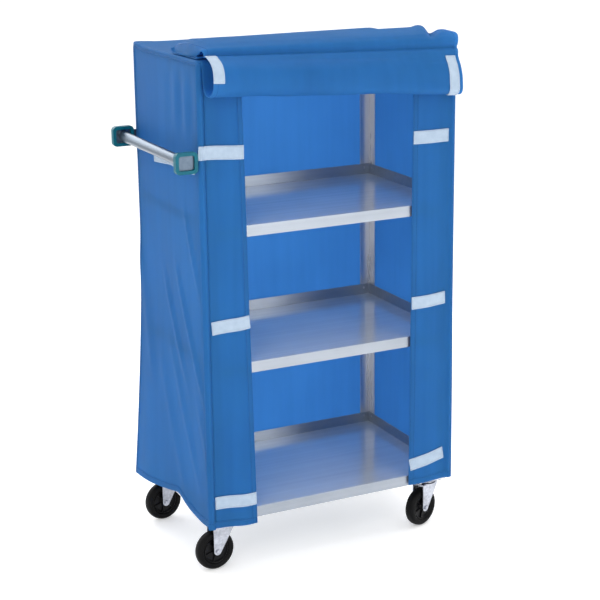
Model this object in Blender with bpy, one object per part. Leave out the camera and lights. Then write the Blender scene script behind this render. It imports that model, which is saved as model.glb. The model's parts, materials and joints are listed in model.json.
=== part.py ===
"""Covered linen trolley: stainless frame, three tray shelves, four swivel casters, push handle, sewn cover.

Metres, +Z up. The origin is the bottom centre of the whole trolley's bounding box. The wide open side
faces -Y and the push handle is on the -X end. Joint axes: each fork turns about the vertical line of its
kingpin, each wheel about its axle, which lies along Y before its caster is turned.
"""
import math

import bmesh
import bpy
from mathutils import Matrix, Vector

# ---- Driving dimensions -------------------------------------------------------------------------
FRAME_WIDTH = 0.820          # outside of the posts, along X
FRAME_DEPTH = 0.510          # outside of the posts, along Y
GAP = 0.0003                 # clearance between touching pieces
SHIFT_X = 0.0345             # frame centre to the centre of the whole bounding box
SHIFT_Y = 0.0439

POST_LEG = 0.038
POST_SHEET = 0.0025
POST_BOTTOM = 0.156
POST_TOP = 1.553

SHELF_SHEET = 0.0015
SHELF_HEIGHTS = {"bottom": 0.190, "middle": 0.656, "upper": 1.073}
SHELF_LIP = 0.034            # front edge turned down
SHELF_LEDGE = 0.035          # rear and side edges turned up
DECK_TURNDOWN = 0.025

CHANNEL_BOTTOM = 0.155
CHANNEL_HALF_WIDTH = 0.044
CHANNEL_SHEET = 0.0025

# Casters
KINGPIN_X = 0.362
KINGPIN_Y = 0.215
TRAIL = 0.028                # axle behind the kingpin
WHEEL_RADIUS = 0.0625
WHEEL_WIDTH = 0.032
CORE_RADIUS = 0.042
PLATE_SIZE = (0.090, 0.066, 0.003)
RACE_RADIUS = 0.031
FORK_SHEET = 0.003
FORK_INSIDE = 0.040          # between the legs
CROWN_RADIUS = 0.033
KINGPIN_RADIUS = 0.006
AXLE_RADIUS = 0.004
BORE_CLEARANCE = 0.0003

# Push handle
HANDLE_X = -0.460
HANDLE_Z = 1.275
BAR_RADIUS = 0.016
BAR_WALL = 0.0015
BRACKET_SHEET = 0.003
BUMPER_SIZE = (0.068, 0.062)
BUMPER_RIM = 0.010
BUMPER_DEPTH = 0.018
BUMPER_CORNER = 0.012
TANG_HALF_HEIGHT = 0.018
TANG_END_X = -0.376

# Cover
COVER_CLEARANCE = 0.004
CLOTH = 0.003
HEM_HEIGHT = 0.150
DOORWAY_HALF_WIDTH = 0.272
STRIP_SHEET = 0.0015
STRIP_HEIGHT = 0.040
STRIP_LEVELS = {"upper": 1.290, "middle": 0.774, "lower": 0.232}
STRIP_INSET_RIGHT = 0.010
ROLL_LEFT = -0.410
ROLL_RIGHT = 0.425
ROLL_SAG = 0.045             # the hanging bulge is this much lower at its right end
ROLL_TOP_SAG = 0.010         # and the crest of the fold on top this much
ROLL_REST_Z = 1.566          # the fold lies on the cover's top at this height
ROLL_CREST_Z = 1.608
ROLL_FOLD_CORNER = (-0.252, 1.5655)      # the fold's lower front corner, just over the cover's top
ROLL_BULGE_CORNER = (-0.2655, 1.563)     # the bulge's upper rear corner, just in front of the cover
ROLL_STEPS = 3               # curve points per control point along its outline
STRAPS = {"left": (-0.374, 9), "right": (0.386, 18)}    # centre, and its length in curve points

CORNERS = {"front_left": (-1, -1), "front_right": (1, -1), "rear_left": (-1, 1), "rear_right": (1, 1)}
CASTER_TURN = {"front_left": 5, "front_right": 20, "rear_left": 8, "rear_right": 12}    # degrees at rest

# ---- Derived planes -----------------------------------------------------------------------------
HALF_W = FRAME_WIDTH / 2
HALF_D = FRAME_DEPTH / 2
TRAY_X = HALF_W - POST_SHEET - GAP
TRAY_Y = HALF_D - POST_SHEET - GAP
COVER_IN_X = HALF_W + COVER_CLEARANCE
COVER_IN_Y = HALF_D + COVER_CLEARANCE
COVER_OUT_X = COVER_IN_X + CLOTH
COVER_OUT_Y = COVER_IN_Y + CLOTH
COVER_TOP_LOW = POST_TOP + 0.0035
COVER_TOP_HIGH = COVER_TOP_LOW + CLOTH
PLATE_TOP = CHANNEL_BOTTOM - GAP
PLATE_BOTTOM = PLATE_TOP - PLATE_SIZE[2]
RACE_TOP = PLATE_BOTTOM - GAP
CROWN_TOP = 0.1427
CROWN_BOTTOM = CROWN_TOP - FORK_SHEET
BRACKET_Y = HALF_D + GAP     # inner face of a handle bracket, on the post's outside


# ---- Scene helpers ------------------------------------------------------------------------------
def clear_scene():
    for obj in list(bpy.data.objects):
        bpy.data.objects.remove(obj)


def material(name, colour, roughness, metallic=0.0):
    mat = bpy.data.materials.new(name)
    mat.use_nodes = True
    shader = mat.node_tree.nodes["Principled BSDF"]
    shader.inputs["Base Color"].default_value = (*colour, 1.0)
    shader.inputs["Roughness"].default_value = roughness
    shader.inputs["Metallic"].default_value = metallic
    mat.diffuse_color = (*colour, 1.0)
    return mat


def empty(name, location, parent=None):
    obj = bpy.data.objects.new(name, None)
    obj.location = location
    obj.parent = parent
    bpy.context.scene.collection.objects.link(obj)
    return obj


def add_object(name, bm, mat, parent, location=(0, 0, 0)):
    bmesh.ops.recalc_face_normals(bm, faces=bm.faces)
    mesh = bpy.data.meshes.new(name)
    bm.to_mesh(mesh)
    bm.free()
    if mat is not None:
        mesh.materials.append(mat)
    obj = bpy.data.objects.new(name, mesh)
    obj.location = location
    obj.parent = parent
    bpy.context.scene.collection.objects.link(obj)
    return obj


def as_cutter(obj):
    obj.hide_render = True
    obj.display_type = "WIRE"
    return obj


def boolean(obj, operand, operation):
    modifier = obj.modifiers.new(operation.lower(), "BOOLEAN")
    modifier.operation = operation
    modifier.solver = "EXACT"
    modifier.object = as_cutter(operand)


def soften_edges(obj, width, segments=1):
    modifier = obj.modifiers.new("soft_edges", "BEVEL")
    modifier.width = width
    modifier.segments = segments
    modifier.limit_method = "ANGLE"
    modifier.angle_limit = math.radians(40)


def round_shading(obj, degrees=35):
    obj.data.shade_smooth()
    obj.data.set_sharp_from_angle(angle=math.radians(degrees))


# ---- Shape helpers ------------------------------------------------------------------------------
def box(low, high):
    bm = bmesh.new()
    size = Vector(high) - Vector(low)
    centre = (Vector(high) + Vector(low)) / 2
    matrix = Matrix.Translation(centre) @ Matrix.Diagonal((*size, 1.0))
    bmesh.ops.create_cube(bm, size=1.0, matrix=matrix)
    return bm


def prism(outline, along, start, end):
    """Extrude a closed outline along one axis; its two numbers are the other two axes, in X, Y, Z order."""
    index = "XYZ".index(along)
    bm = bmesh.new()
    base = []
    for first, second in outline:
        point = [first, second]
        point.insert(index, start)
        base.append(bm.verts.new(point))
    face = bm.faces.new(base)
    grown = bmesh.ops.extrude_face_region(bm, geom=[face])
    step = [0.0, 0.0, 0.0]
    step[index] = end - start
    moved = [item for item in grown["geom"] if isinstance(item, bmesh.types.BMVert)]
    bmesh.ops.translate(bm, vec=step, verts=moved)
    return bm


def turned(profile, along, segments):
    """Spin a (radius, height) loop about the Z or the Y axis; a point of radius 0 becomes one pole."""
    bm = bmesh.new()

    def vertex(radius, height, angle):
        a = radius * math.cos(angle)
        b = radius * math.sin(angle)
        return bm.verts.new((a, b, height) if along == "Z" else (a, height, b))

    poles = {height: vertex(0, height, 0) for radius, height in profile if radius == 0}
    rings = []
    for step in range(segments):
        angle = 2 * math.pi * (step + 0.5) / segments
        rings.append([vertex(radius, height, angle) if radius else poles[height]
                      for radius, height in profile])
    count = len(profile)
    for step in range(segments):
        ring = rings[step]
        following = rings[(step + 1) % segments]
        for k in range(count):
            n = (k + 1) % count
            corners = []
            for vert in (ring[k], following[k], following[n], ring[n]):
                if vert not in corners:
                    corners.append(vert)
            if len(corners) > 2:
                bm.faces.new(corners)
    return bm


def pin_hole(name, radius, low, high, along, parent, location):
    """A round cutter along Z or Y."""
    profile = [(0, low), (radius, low), (radius, high), (0, high)]
    return add_object(name, turned(profile, along, 16), None, parent, location)


def arc(centre, radius, start, end, steps):
    """Points along an arc; the angles are in degrees."""
    points = []
    for k in range(steps + 1):
        angle = math.radians(start + (end - start) * k / steps)
        points.append((centre[0] + radius * math.cos(angle), centre[1] + radius * math.sin(angle)))
    return points


def rounded_rectangle(centre, size, corner, steps=4):
    points = []
    for sx, sz, start in ((1, 1, 0), (-1, 1, 90), (-1, -1, 180), (1, -1, 270)):
        middle = (centre[0] + sx * (size[0] / 2 - corner), centre[1] + sz * (size[1] / 2 - corner))
        points += arc(middle, corner, start, start + 90, steps)
    return points


def smooth_line(points, per_span):
    """Catmull-Rom curve through an open row of points."""
    padded = [points[0]] + list(points) + [points[-1]]
    result = []
    for k in range(1, len(padded) - 2):
        p0, p1, p2, p3 = (Vector(padded[k + offset]) for offset in (-1, 0, 1, 2))
        for step in range(per_span):
            t = step / per_span
            result.append(0.5 * (2 * p1 + (p2 - p0) * t + (2 * p0 - 5 * p1 + 4 * p2 - p3) * t * t
                                 + (3 * p1 - p0 - 3 * p2 + p3) * t * t * t))
    result.append(Vector(points[-1]))
    return result


def loft(sections):
    """Skin a row of equal closed sections and cap both ends."""
    bm = bmesh.new()
    rings = [[bm.verts.new(point) for point in section] for section in sections]
    count = len(sections[0])
    for ring, following in zip(rings, rings[1:]):
        for k in range(count):
            n = (k + 1) % count
            bm.faces.new((ring[k], following[k], following[n], ring[n]))
    bm.faces.new(rings[0])
    bm.faces.new(rings[-1])
    return bm


# ---- Frame --------------------------------------------------------------------------------------
def build_posts(root, steel):
    for corner, (sx, sy) in CORNERS.items():
        x, y = sx * HALF_W, sy * HALF_D
        leg, sheet = POST_LEG, POST_SHEET
        outline = [(x, y), (x - sx * leg, y), (x - sx * leg, y - sy * sheet),
                   (x - sx * sheet, y - sy * sheet), (x - sx * sheet, y - sy * leg), (x, y - sy * leg)]
        post = add_object(f"post_{corner}", prism(outline, "Z", POST_BOTTOM, POST_TOP), steel, root)
        soften_edges(post, 0.0005)


def build_shelves(root, steel):
    for level, deck in SHELF_HEIGHTS.items():
        low = deck - SHELF_SHEET
        outline = [(-TRAY_Y, deck - SHELF_LIP), (-TRAY_Y + SHELF_SHEET, deck - SHELF_LIP),
                   (-TRAY_Y + SHELF_SHEET, low), (TRAY_Y, low), (TRAY_Y, deck + SHELF_LEDGE),
                   (TRAY_Y - SHELF_SHEET, deck + SHELF_LEDGE), (TRAY_Y - SHELF_SHEET, deck),
                   (-TRAY_Y, deck)]
        shelf = add_object(f"shelf_{level}", prism(outline, "X", -TRAY_X, TRAY_X), steel, root)
        for side in (-1, 1):
            outer, inner = side * TRAY_X, side * (TRAY_X - SHELF_SHEET)
            ledge = box((min(outer, inner), -TRAY_Y, low), (max(outer, inner), TRAY_Y, deck + SHELF_LEDGE))
            boolean(shelf, add_object(f"ledge_{level}_{side}", ledge, None, root), "UNION")


def build_top_deck(root, steel):
    tray = box((-TRAY_X, -TRAY_Y, POST_TOP - DECK_TURNDOWN), (TRAY_X, TRAY_Y, POST_TOP))
    deck = add_object("top_deck", tray, steel, root)
    inside = box((-TRAY_X + SHELF_SHEET, -TRAY_Y + SHELF_SHEET, POST_TOP - 2 * DECK_TURNDOWN),
                 (TRAY_X - SHELF_SHEET, TRAY_Y - SHELF_SHEET, POST_TOP - SHELF_SHEET))
    boolean(deck, add_object("top_deck_hollow", inside, None, root), "DIFFERENCE")


def build_caster_channels(root, steel):
    top = SHELF_HEIGHTS["bottom"] - SHELF_SHEET - GAP
    length = TRAY_Y - SHELF_SHEET - 0.001
    for name, side in (("left", -1), ("right", 1)):
        centre = side * KINGPIN_X
        outer, inner = CHANNEL_HALF_WIDTH, CHANNEL_HALF_WIDTH - CHANNEL_SHEET
        outline = [(centre - outer, CHANNEL_BOTTOM), (centre + outer, CHANNEL_BOTTOM), (centre + outer, top),
                   (centre + inner, top), (centre + inner, CHANNEL_BOTTOM + CHANNEL_SHEET),
                   (centre - inner, CHANNEL_BOTTOM + CHANNEL_SHEET), (centre - inner, top),
                   (centre - outer, top)]
        channel = add_object(f"caster_channel_{name}", prism(outline, "Y", -length, length), steel, root)
        for end in (-1, 1):
            cutter = pin_hole(f"channel_hole_{name}_{end}", KINGPIN_RADIUS + BORE_CLEARANCE, 0.14, 0.17, "Z",
                              root, (centre, end * KINGPIN_Y, 0))
            boolean(channel, cutter, "DIFFERENCE")


# ---- Casters ------------------------------------------------------------------------------------
def build_caster_mount(corner, root, position, zinc):
    """Top plate, ball race and kingpin, which stay with the frame."""
    x, y = position
    size_x, size_y, _ = PLATE_SIZE
    outline = rounded_rectangle((0, 0), (size_x, size_y), 0.008, 3)
    plate = add_object(f"caster_plate_{corner}", prism(outline, "Z", PLATE_BOTTOM, PLATE_TOP), zinc, root,
                       (x, y, 0))
    bore = KINGPIN_RADIUS + BORE_CLEARANCE
    boolean(plate, pin_hole(f"plate_hole_{corner}", bore, 0.14, 0.17, "Z", root, (x, y, 0)), "DIFFERENCE")

    floor = CROWN_TOP + GAP
    profile = [(bore, floor), (RACE_RADIUS - 0.006, floor), (RACE_RADIUS, floor + 0.0025),
               (RACE_RADIUS - 0.001, floor + 0.0050), (RACE_RADIUS - 0.006, RACE_TOP), (bore, RACE_TOP)]
    race = add_object(f"caster_race_{corner}", turned(profile, "Z", 28), zinc, root, (x, y, 0))
    round_shading(race, 50)

    head_top = CROWN_BOTTOM - GAP
    top = CHANNEL_BOTTOM + CHANNEL_SHEET + 0.006
    profile = [(0, head_top - 0.006), (0.008, head_top - 0.006), (0.0105, head_top - 0.003),
               (0.0105, head_top), (KINGPIN_RADIUS, head_top), (KINGPIN_RADIUS, top), (0, top)]
    pin = add_object(f"caster_kingpin_{corner}", turned(profile, "Z", 16), zinc, root, (x, y, 0))
    round_shading(pin)


def build_fork(corner, swivel, zinc):
    """Pressed yoke: a folded strip trimmed to its side outline, under a round crown."""
    half = FORK_INSIDE / 2
    outer = half + FORK_SHEET
    bend = 0.006
    low = WHEEL_RADIUS - 0.030
    inner_bend = bend - FORK_SHEET
    outline = [(-outer, low)]
    outline += arc((-outer + bend, CROWN_TOP - bend), bend, 180, 90, 3)
    outline += arc((outer - bend, CROWN_TOP - bend), bend, 90, 0, 3)
    outline += [(outer, low), (half, low)]
    outline += arc((half - inner_bend, CROWN_BOTTOM - inner_bend), inner_bend, 0, 90, 3)
    outline += arc((-half + inner_bend, CROWN_BOTTOM - inner_bend), inner_bend, 90, 180, 3)
    outline += [(-half, low)]
    fork = add_object(f"caster_fork_{corner}", prism(outline, "X", -0.060, 0.040), zinc, swivel)

    boss = 0.0125
    axle_x = -TRAIL
    side = [(CROWN_RADIUS - 0.004, CROWN_TOP + 0.01), (axle_x - boss, CROWN_TOP + 0.01)]
    side += arc((axle_x, WHEEL_RADIUS), boss, 180, 340, 8)
    side += [(CROWN_RADIUS - 0.010, CROWN_BOTTOM - 0.016), (CROWN_RADIUS - 0.004, CROWN_BOTTOM - 0.006)]
    trim = add_object(f"fork_trim_{corner}", prism(side, "Y", -0.05, 0.05), None, swivel)
    boolean(fork, trim, "INTERSECT")

    disc = prism(arc((0, 0), CROWN_RADIUS, 0, 360 - 360 / 28, 27), "Z", CROWN_BOTTOM, CROWN_TOP)
    boolean(fork, add_object(f"fork_crown_{corner}", disc, None, swivel), "UNION")
    centre_hole = pin_hole(f"crown_hole_{corner}", KINGPIN_RADIUS + BORE_CLEARANCE, 0.13, 0.15, "Z", swivel,
                           (0, 0, 0))
    boolean(fork, centre_hole, "DIFFERENCE")
    axle_hole = pin_hole(f"axle_hole_{corner}", AXLE_RADIUS + BORE_CLEARANCE, -0.05, 0.05, "Y", swivel,
                         (axle_x, 0, WHEEL_RADIUS))
    boolean(fork, axle_hole, "DIFFERENCE")


def build_axle(corner, swivel, zinc):
    face = FORK_INSIDE / 2 + FORK_SHEET + GAP
    end = face + 0.005
    head = 0.0075
    profile = [(0, -end), (head - 0.001, -end), (head, -end + 0.001), (head, -face), (AXLE_RADIUS, -face),
               (AXLE_RADIUS, face), (head, face), (head, end - 0.001), (head - 0.001, end), (0, end)]
    axle = add_object(f"caster_axle_{corner}", turned(profile, "Y", 12), zinc, swivel,
                      (-TRAIL, 0, WHEEL_RADIUS))
    round_shading(axle)


def build_wheel(corner, hub, rubber, plastic):
    segments = 40
    flat_down = 1 / math.cos(math.pi / segments)
    half = WHEEL_WIDTH / 2
    tread = WHEEL_RADIUS * flat_down
    seat = CORE_RADIUS + GAP
    profile = [(seat, -half + 0.004), (seat + 0.006, -half), (WHEEL_RADIUS - 0.009, -half),
               (WHEEL_RADIUS - 0.003, -half + 0.003), (tread, -half + 0.009), (tread, half - 0.009),
               (WHEEL_RADIUS - 0.003, half - 0.003), (WHEEL_RADIUS - 0.009, half), (seat + 0.006, half),
               (seat, half - 0.004)]
    tyre = add_object(f"wheel_tyre_{corner}", turned(profile, "Y", segments), rubber, hub)
    round_shading(tyre)

    bore = AXLE_RADIUS + BORE_CLEARANCE
    hub_face = FORK_INSIDE / 2 - 0.001
    web = half - 0.008
    profile = [(bore, -hub_face), (0.012, -hub_face), (0.014, -web), (CORE_RADIUS - 0.004, -web),
               (CORE_RADIUS - 0.002, -half + 0.004), (CORE_RADIUS, -half + 0.004),
               (CORE_RADIUS, half - 0.004), (CORE_RADIUS - 0.002, half - 0.004),
               (CORE_RADIUS - 0.004, web), (0.014, web), (0.012, hub_face), (bore, hub_face)]
    core = add_object(f"wheel_core_{corner}", turned(profile, "Y", 24), plastic, hub)
    round_shading(core)


def build_casters(root, zinc, rubber, plastic):
    for corner, (sx, sy) in CORNERS.items():
        x, y = sx * KINGPIN_X, sy * KINGPIN_Y
        build_caster_mount(corner, root, (x, y), zinc)
        swivel = empty(f"swivel_axis_{corner}", (x, y, 0), root)
        swivel.rotation_euler.z = math.radians(CASTER_TURN[corner])
        build_fork(corner, swivel, zinc)
        build_axle(corner, swivel, zinc)
        hub = empty(f"wheel_axis_{corner}", (-TRAIL, 0, WHEEL_RADIUS), swivel)
        build_wheel(corner, hub, rubber, plastic)


# ---- Push handle --------------------------------------------------------------------------------
def build_handle(root, steel, teal):
    reach = BRACKET_Y - GAP
    inner = BAR_RADIUS - BAR_WALL
    profile = [(inner, -reach), (BAR_RADIUS, -reach), (BAR_RADIUS, reach), (inner, reach)]
    bar = add_object("handle_bar", turned(profile, "Y", 28), steel, root, (HANDLE_X, 0, HANDLE_Z))
    round_shading(bar)

    opening = [size - 2 * BUMPER_RIM for size in BUMPER_SIZE]
    for name, side in (("front", -1), ("rear", 1)):
        near, far = side * BRACKET_Y, side * (BRACKET_Y + BRACKET_SHEET)
        middle = (near + far) / 2
        blade = rounded_rectangle((HANDLE_X, HANDLE_Z), [size - 2 * GAP for size in opening],
                                  BUMPER_CORNER - 0.006, 3)
        bracket = add_object(f"handle_bracket_{name}", prism(blade, "Y", near, far), steel, root)
        tang_low = (HANDLE_X, min(near, far), HANDLE_Z - TANG_HALF_HEIGHT)
        tang_high = (TANG_END_X, max(near, far), HANDLE_Z + TANG_HALF_HEIGHT)
        boolean(bracket, add_object(f"tang_{name}", box(tang_low, tang_high), None, root), "UNION")

        rim = rounded_rectangle((HANDLE_X, HANDLE_Z), BUMPER_SIZE, BUMPER_CORNER)
        bumper = add_object(f"bracket_bumper_{name}",
                            prism(rim, "Y", middle - BUMPER_DEPTH / 2, middle + BUMPER_DEPTH / 2), teal, root)
        hole = rounded_rectangle((HANDLE_X, HANDLE_Z), opening, BUMPER_CORNER - 0.006, 3)
        boolean(bumper, add_object(f"bumper_hole_{name}", prism(hole, "Y", middle - 0.05, middle + 0.05),
                                   None, root), "DIFFERENCE")
        slot_low = (HANDLE_X, min(near, far) - GAP, tang_low[2] - GAP)
        slot_high = (HANDLE_X + BUMPER_SIZE[0], max(near, far) + GAP, tang_high[2] + GAP)
        boolean(bumper, add_object(f"bumper_slot_{name}", box(slot_low, slot_high), None, root),
                "DIFFERENCE")
        soften_edges(bumper, 0.003, 2)


# ---- Cover --------------------------------------------------------------------------------------
def build_cover_panels(root, cloth):
    high = COVER_TOP_LOW - GAP
    seam_x = COVER_IN_X - GAP
    top = box((-COVER_OUT_X, -COVER_OUT_Y, COVER_TOP_LOW), (COVER_OUT_X, COVER_OUT_Y, COVER_TOP_HIGH))
    add_object("cover_top_panel", top, cloth, root)
    back = box((-seam_x, COVER_IN_Y, HEM_HEIGHT), (seam_x, COVER_OUT_Y, high))
    add_object("cover_back_panel", back, cloth, root)
    right = box((COVER_IN_X, -COVER_OUT_Y, HEM_HEIGHT), (COVER_OUT_X, COVER_OUT_Y, high))
    add_object("cover_right_panel", right, cloth, root)
    left = add_object("cover_left_panel",
                      box((-COVER_OUT_X, -COVER_OUT_Y, HEM_HEIGHT), (-COVER_IN_X, COVER_OUT_Y, high)),
                      cloth, root)
    slit_half = TANG_HALF_HEIGHT + 0.002
    for side in (-1, 1):
        ends = (side * (BRACKET_Y - 0.001), side * (COVER_OUT_Y + 0.010))
        slit = box((-COVER_OUT_X - 0.01, min(ends), HANDLE_Z - slit_half),
                   (-COVER_IN_X + 0.01, max(ends), HANDLE_Z + slit_half))
        boolean(left, add_object(f"handle_slit_{side}", slit, None, root), "DIFFERENCE")
    for name, side in (("left", -1), ("right", 1)):
        ends = (side * DOORWAY_HALF_WIDTH, side * seam_x)
        flap = box((min(ends), -COVER_OUT_Y, HEM_HEIGHT), (max(ends), -COVER_IN_Y, high))
        add_object(f"front_flap_{name}", flap, cloth, root)


def build_closure_strips(root, tape):
    near = -COVER_OUT_Y - GAP
    far = near - STRIP_SHEET
    half = STRIP_HEIGHT / 2
    for level, z in STRIP_LEVELS.items():
        left = box((-COVER_OUT_X, far, z - half), (-DOORWAY_HALF_WIDTH - 0.002, near, z + half))
        add_object(f"closure_strip_left_{level}", left, tape, root)
        right = box((DOORWAY_HALF_WIDTH + 0.002, far, z - half),
                    (COVER_OUT_X - STRIP_INSET_RIGHT, near, z + half))
        add_object(f"closure_strip_right_{level}", right, tape, root)
    strip_z = HANDLE_Z - 0.040
    side_strip = box((-COVER_OUT_X - GAP - STRIP_SHEET, -COVER_OUT_Y + 0.004, strip_z - half),
                     (-COVER_OUT_X - GAP, 0.105, strip_z + half))
    add_object("handle_slit_strip", side_strip, tape, root)


def roll_outline():
    """Outer side (Y, Z) of the thrown-up front flap, from its rear edge on top to its hanging lower edge."""
    on_top = [(-0.052, ROLL_REST_Z), (-0.056, 1.584), (-0.085, 1.600), (-0.150, ROLL_CREST_Z),
              (-0.215, 1.603), (-0.255, 1.588)]
    crease = [(-0.278, 1.572)]
    bulge = [(-0.305, 1.566), (-0.335, 1.546), (-0.351, 1.515), (-0.346, 1.482), (-0.322, 1.459),
             (-0.293, 1.455), (-0.272, 1.466), (-0.266, 1.495)]
    return smooth_line(on_top + crease + bulge, ROLL_STEPS), ROLL_STEPS * len(on_top)


def hang(point, x):
    """Place an outline point at one station along the roll, which sags towards its right end."""
    along = (x - ROLL_LEFT) / (ROLL_RIGHT - ROLL_LEFT)
    y, z = point
    in_front = min(max((-0.235 - y) / 0.050, 0), 1)
    raised = min(max((z - ROLL_REST_Z) / (ROLL_CREST_Z - ROLL_REST_Z), 0), 1)
    return (x, y, z - along * (ROLL_SAG * in_front + ROLL_TOP_SAG * raised * (1 - in_front)))


def build_rolled_flap(root, cloth):
    """Two solids, parted just above the crease: the fold that lies on top and the bulge that hangs in front."""
    outline, crease = roll_outline()
    parting = crease - 2
    stations = (ROLL_LEFT, (ROLL_LEFT + ROLL_RIGHT) / 2, ROLL_RIGHT)
    on_top, in_front = [], []
    for x in stations:
        on_top.append([hang(point, x) for point in outline[:parting]] + [(x, *ROLL_FOLD_CORNER)])
        in_front.append([hang(point, x) for point in [*outline[parting:], ROLL_BULGE_CORNER]])
    for name, sections in (("front_flap_fold", on_top), ("front_flap_rolled", in_front)):
        piece = add_object(name, loft(sections), cloth, root)
        round_shading(piece, 60)


def build_roll_straps(root, tape):
    """A flat strap over the hanging bulge, lifted clear of the cloth below it."""
    half = STRIP_HEIGHT / 2
    outline, crease = roll_outline()
    for name, (centre, steps) in STRAPS.items():
        line = outline[crease:crease + steps + 1]
        under, over = [], []
        for k, point in enumerate(line):
            run = (line[min(k + 1, steps)] - line[max(k - 1, 0)]).normalized()
            outward = Vector((run[1], -run[0]))
            under.append(point + outward * 2 * GAP)
            over.append(point + outward * (2 * GAP + STRIP_SHEET))
        loop = under + over[::-1]
        sections = [[hang(point, centre + offset) for point in loop] for offset in (-half, half)]
        strap = add_object(f"roll_strap_{name}", loft(sections), tape, root)
        round_shading(strap)


def build_trolley():
    clear_scene()
    steel = material("stainless_steel", (0.62, 0.62, 0.66), 0.30, 1.0)
    zinc = material("zinc_plated_steel", (0.50, 0.52, 0.58), 0.35, 1.0)
    rubber = material("tyre_rubber", (0.015, 0.015, 0.016), 0.45)
    plastic = material("wheel_plastic", (0.020, 0.020, 0.022), 0.35)
    teal = material("bumper_vinyl", (0.02, 0.27, 0.33), 0.40)
    cloth = material("blue_cover_cloth", (0.05, 0.20, 0.48), 0.80)
    tape = material("white_tape", (0.72, 0.80, 0.88), 0.75)
    root = empty("trolley", (SHIFT_X, SHIFT_Y, 0))
    build_posts(root, steel)
    build_shelves(root, steel)
    build_top_deck(root, steel)
    build_caster_channels(root, steel)
    build_casters(root, zinc, rubber, plastic)
    build_handle(root, steel, teal)
    build_cover_panels(root, cloth)
    build_closure_strips(root, tape)
    build_rolled_flap(root, cloth)
    build_roll_straps(root, tape)


build_trolley()
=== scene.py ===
"""Looks of the covered linen trolley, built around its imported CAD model. Metres, +Z up, front at -Y."""
import json
import math

import bmesh
import bpy
import numpy as np
from mathutils import Matrix, Vector, noise


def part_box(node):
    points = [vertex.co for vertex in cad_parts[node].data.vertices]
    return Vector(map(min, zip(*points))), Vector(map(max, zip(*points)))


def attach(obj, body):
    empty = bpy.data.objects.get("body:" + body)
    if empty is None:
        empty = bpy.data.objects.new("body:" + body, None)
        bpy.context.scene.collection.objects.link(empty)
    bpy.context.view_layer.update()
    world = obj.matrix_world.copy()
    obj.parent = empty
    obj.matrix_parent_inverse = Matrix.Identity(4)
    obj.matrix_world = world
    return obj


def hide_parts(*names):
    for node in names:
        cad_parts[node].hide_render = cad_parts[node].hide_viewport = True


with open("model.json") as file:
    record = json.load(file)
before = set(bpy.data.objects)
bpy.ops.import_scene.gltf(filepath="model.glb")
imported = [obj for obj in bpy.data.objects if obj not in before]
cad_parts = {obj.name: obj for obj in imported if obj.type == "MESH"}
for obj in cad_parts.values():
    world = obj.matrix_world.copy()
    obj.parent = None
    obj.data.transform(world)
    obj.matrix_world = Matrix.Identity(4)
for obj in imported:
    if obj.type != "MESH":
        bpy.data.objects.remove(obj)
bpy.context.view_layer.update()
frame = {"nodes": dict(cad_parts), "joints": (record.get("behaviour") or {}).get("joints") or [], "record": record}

NODES = frame["nodes"]
ROOT = "trolley"
CORNERS = ("front_left", "front_right", "rear_left", "rear_right")


# ---- Measures read from the frame ---------------------------------------------------------------
def span(*nodes):
    """Lowest and highest corner of some CAD nodes together."""
    boxes = [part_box(node) for node in nodes]
    low = Vector([min(box[0][axis] for box in boxes) for axis in range(3)])
    high = Vector([max(box[1][axis] for box in boxes) for axis in range(3)])
    return low, high


POSTS_LOW, POSTS_HIGH = span(*[f"post_{corner}" for corner in CORNERS])
CENTRE = Vector(((POSTS_LOW.x + POSTS_HIGH.x) / 2, (POSTS_LOW.y + POSTS_HIGH.y) / 2, 0))
HALF_W = (POSTS_HIGH.x - POSTS_LOW.x) / 2
HALF_D = (POSTS_HIGH.y - POSTS_LOW.y) / 2
# All shapes below are worked out from the middle of the posts, and put at CENTRE when they are made.


def node_box(*nodes):
    low, high = span(*nodes)
    return low - CENTRE, high - CENTRE


def new_object(name, data):
    obj = bpy.data.objects.new(name, data)
    bpy.context.scene.collection.objects.link(obj)
    return obj


def finished_mesh(name, bm):
    mesh = bpy.data.meshes.new(name)
    bm.to_mesh(mesh)
    bm.free()
    return mesh


# ---- Camera, light and floor --------------------------------------------------------------------
VIEW_YAW = math.radians(26.08)       # camera looks this far to the right of straight at the front
VIEW_PITCH = math.radians(15.85)
VIEW_ROLL = math.radians(-0.68)
VIEW_DISTANCE = 4.85
VIEW_AIM = CENTRE + Vector((-0.050, -0.140, 0.790))
LENS_MM = 94.7


def add_camera():
    sin_yaw, cos_yaw, cos_pitch = math.sin(VIEW_YAW), math.cos(VIEW_YAW), math.cos(VIEW_PITCH)
    forward = Vector((sin_yaw * cos_pitch, cos_yaw * cos_pitch, -math.sin(VIEW_PITCH)))
    level = Vector((cos_yaw, -sin_yaw, 0))
    above = level.cross(forward)
    right = math.cos(VIEW_ROLL) * level + math.sin(VIEW_ROLL) * above
    up = right.cross(forward)
    camera = new_object("camera", bpy.data.cameras.new("camera"))
    camera.data.lens = LENS_MM
    camera.data.sensor_width = 36
    camera.data.clip_end = 60
    rotation = Matrix((right, up, -forward)).transposed().to_4x4()
    camera.matrix_world = Matrix.Translation(VIEW_AIM - VIEW_DISTANCE * forward) @ rotation
    bpy.context.scene.camera = camera


def add_area_light(name, location, aim_height, size, watts):
    """A square soft light aimed at the middle of the trolley at some height."""
    light = bpy.data.lights.new(name, "AREA")
    light.shape = "SQUARE"
    light.size = size
    light.energy = watts
    obj = new_object(name, light)
    obj.location = location
    obj.rotation_euler = (Vector((0, 0, aim_height)) - Vector(location)).to_track_quat("-Z", "Y").to_euler()


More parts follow.
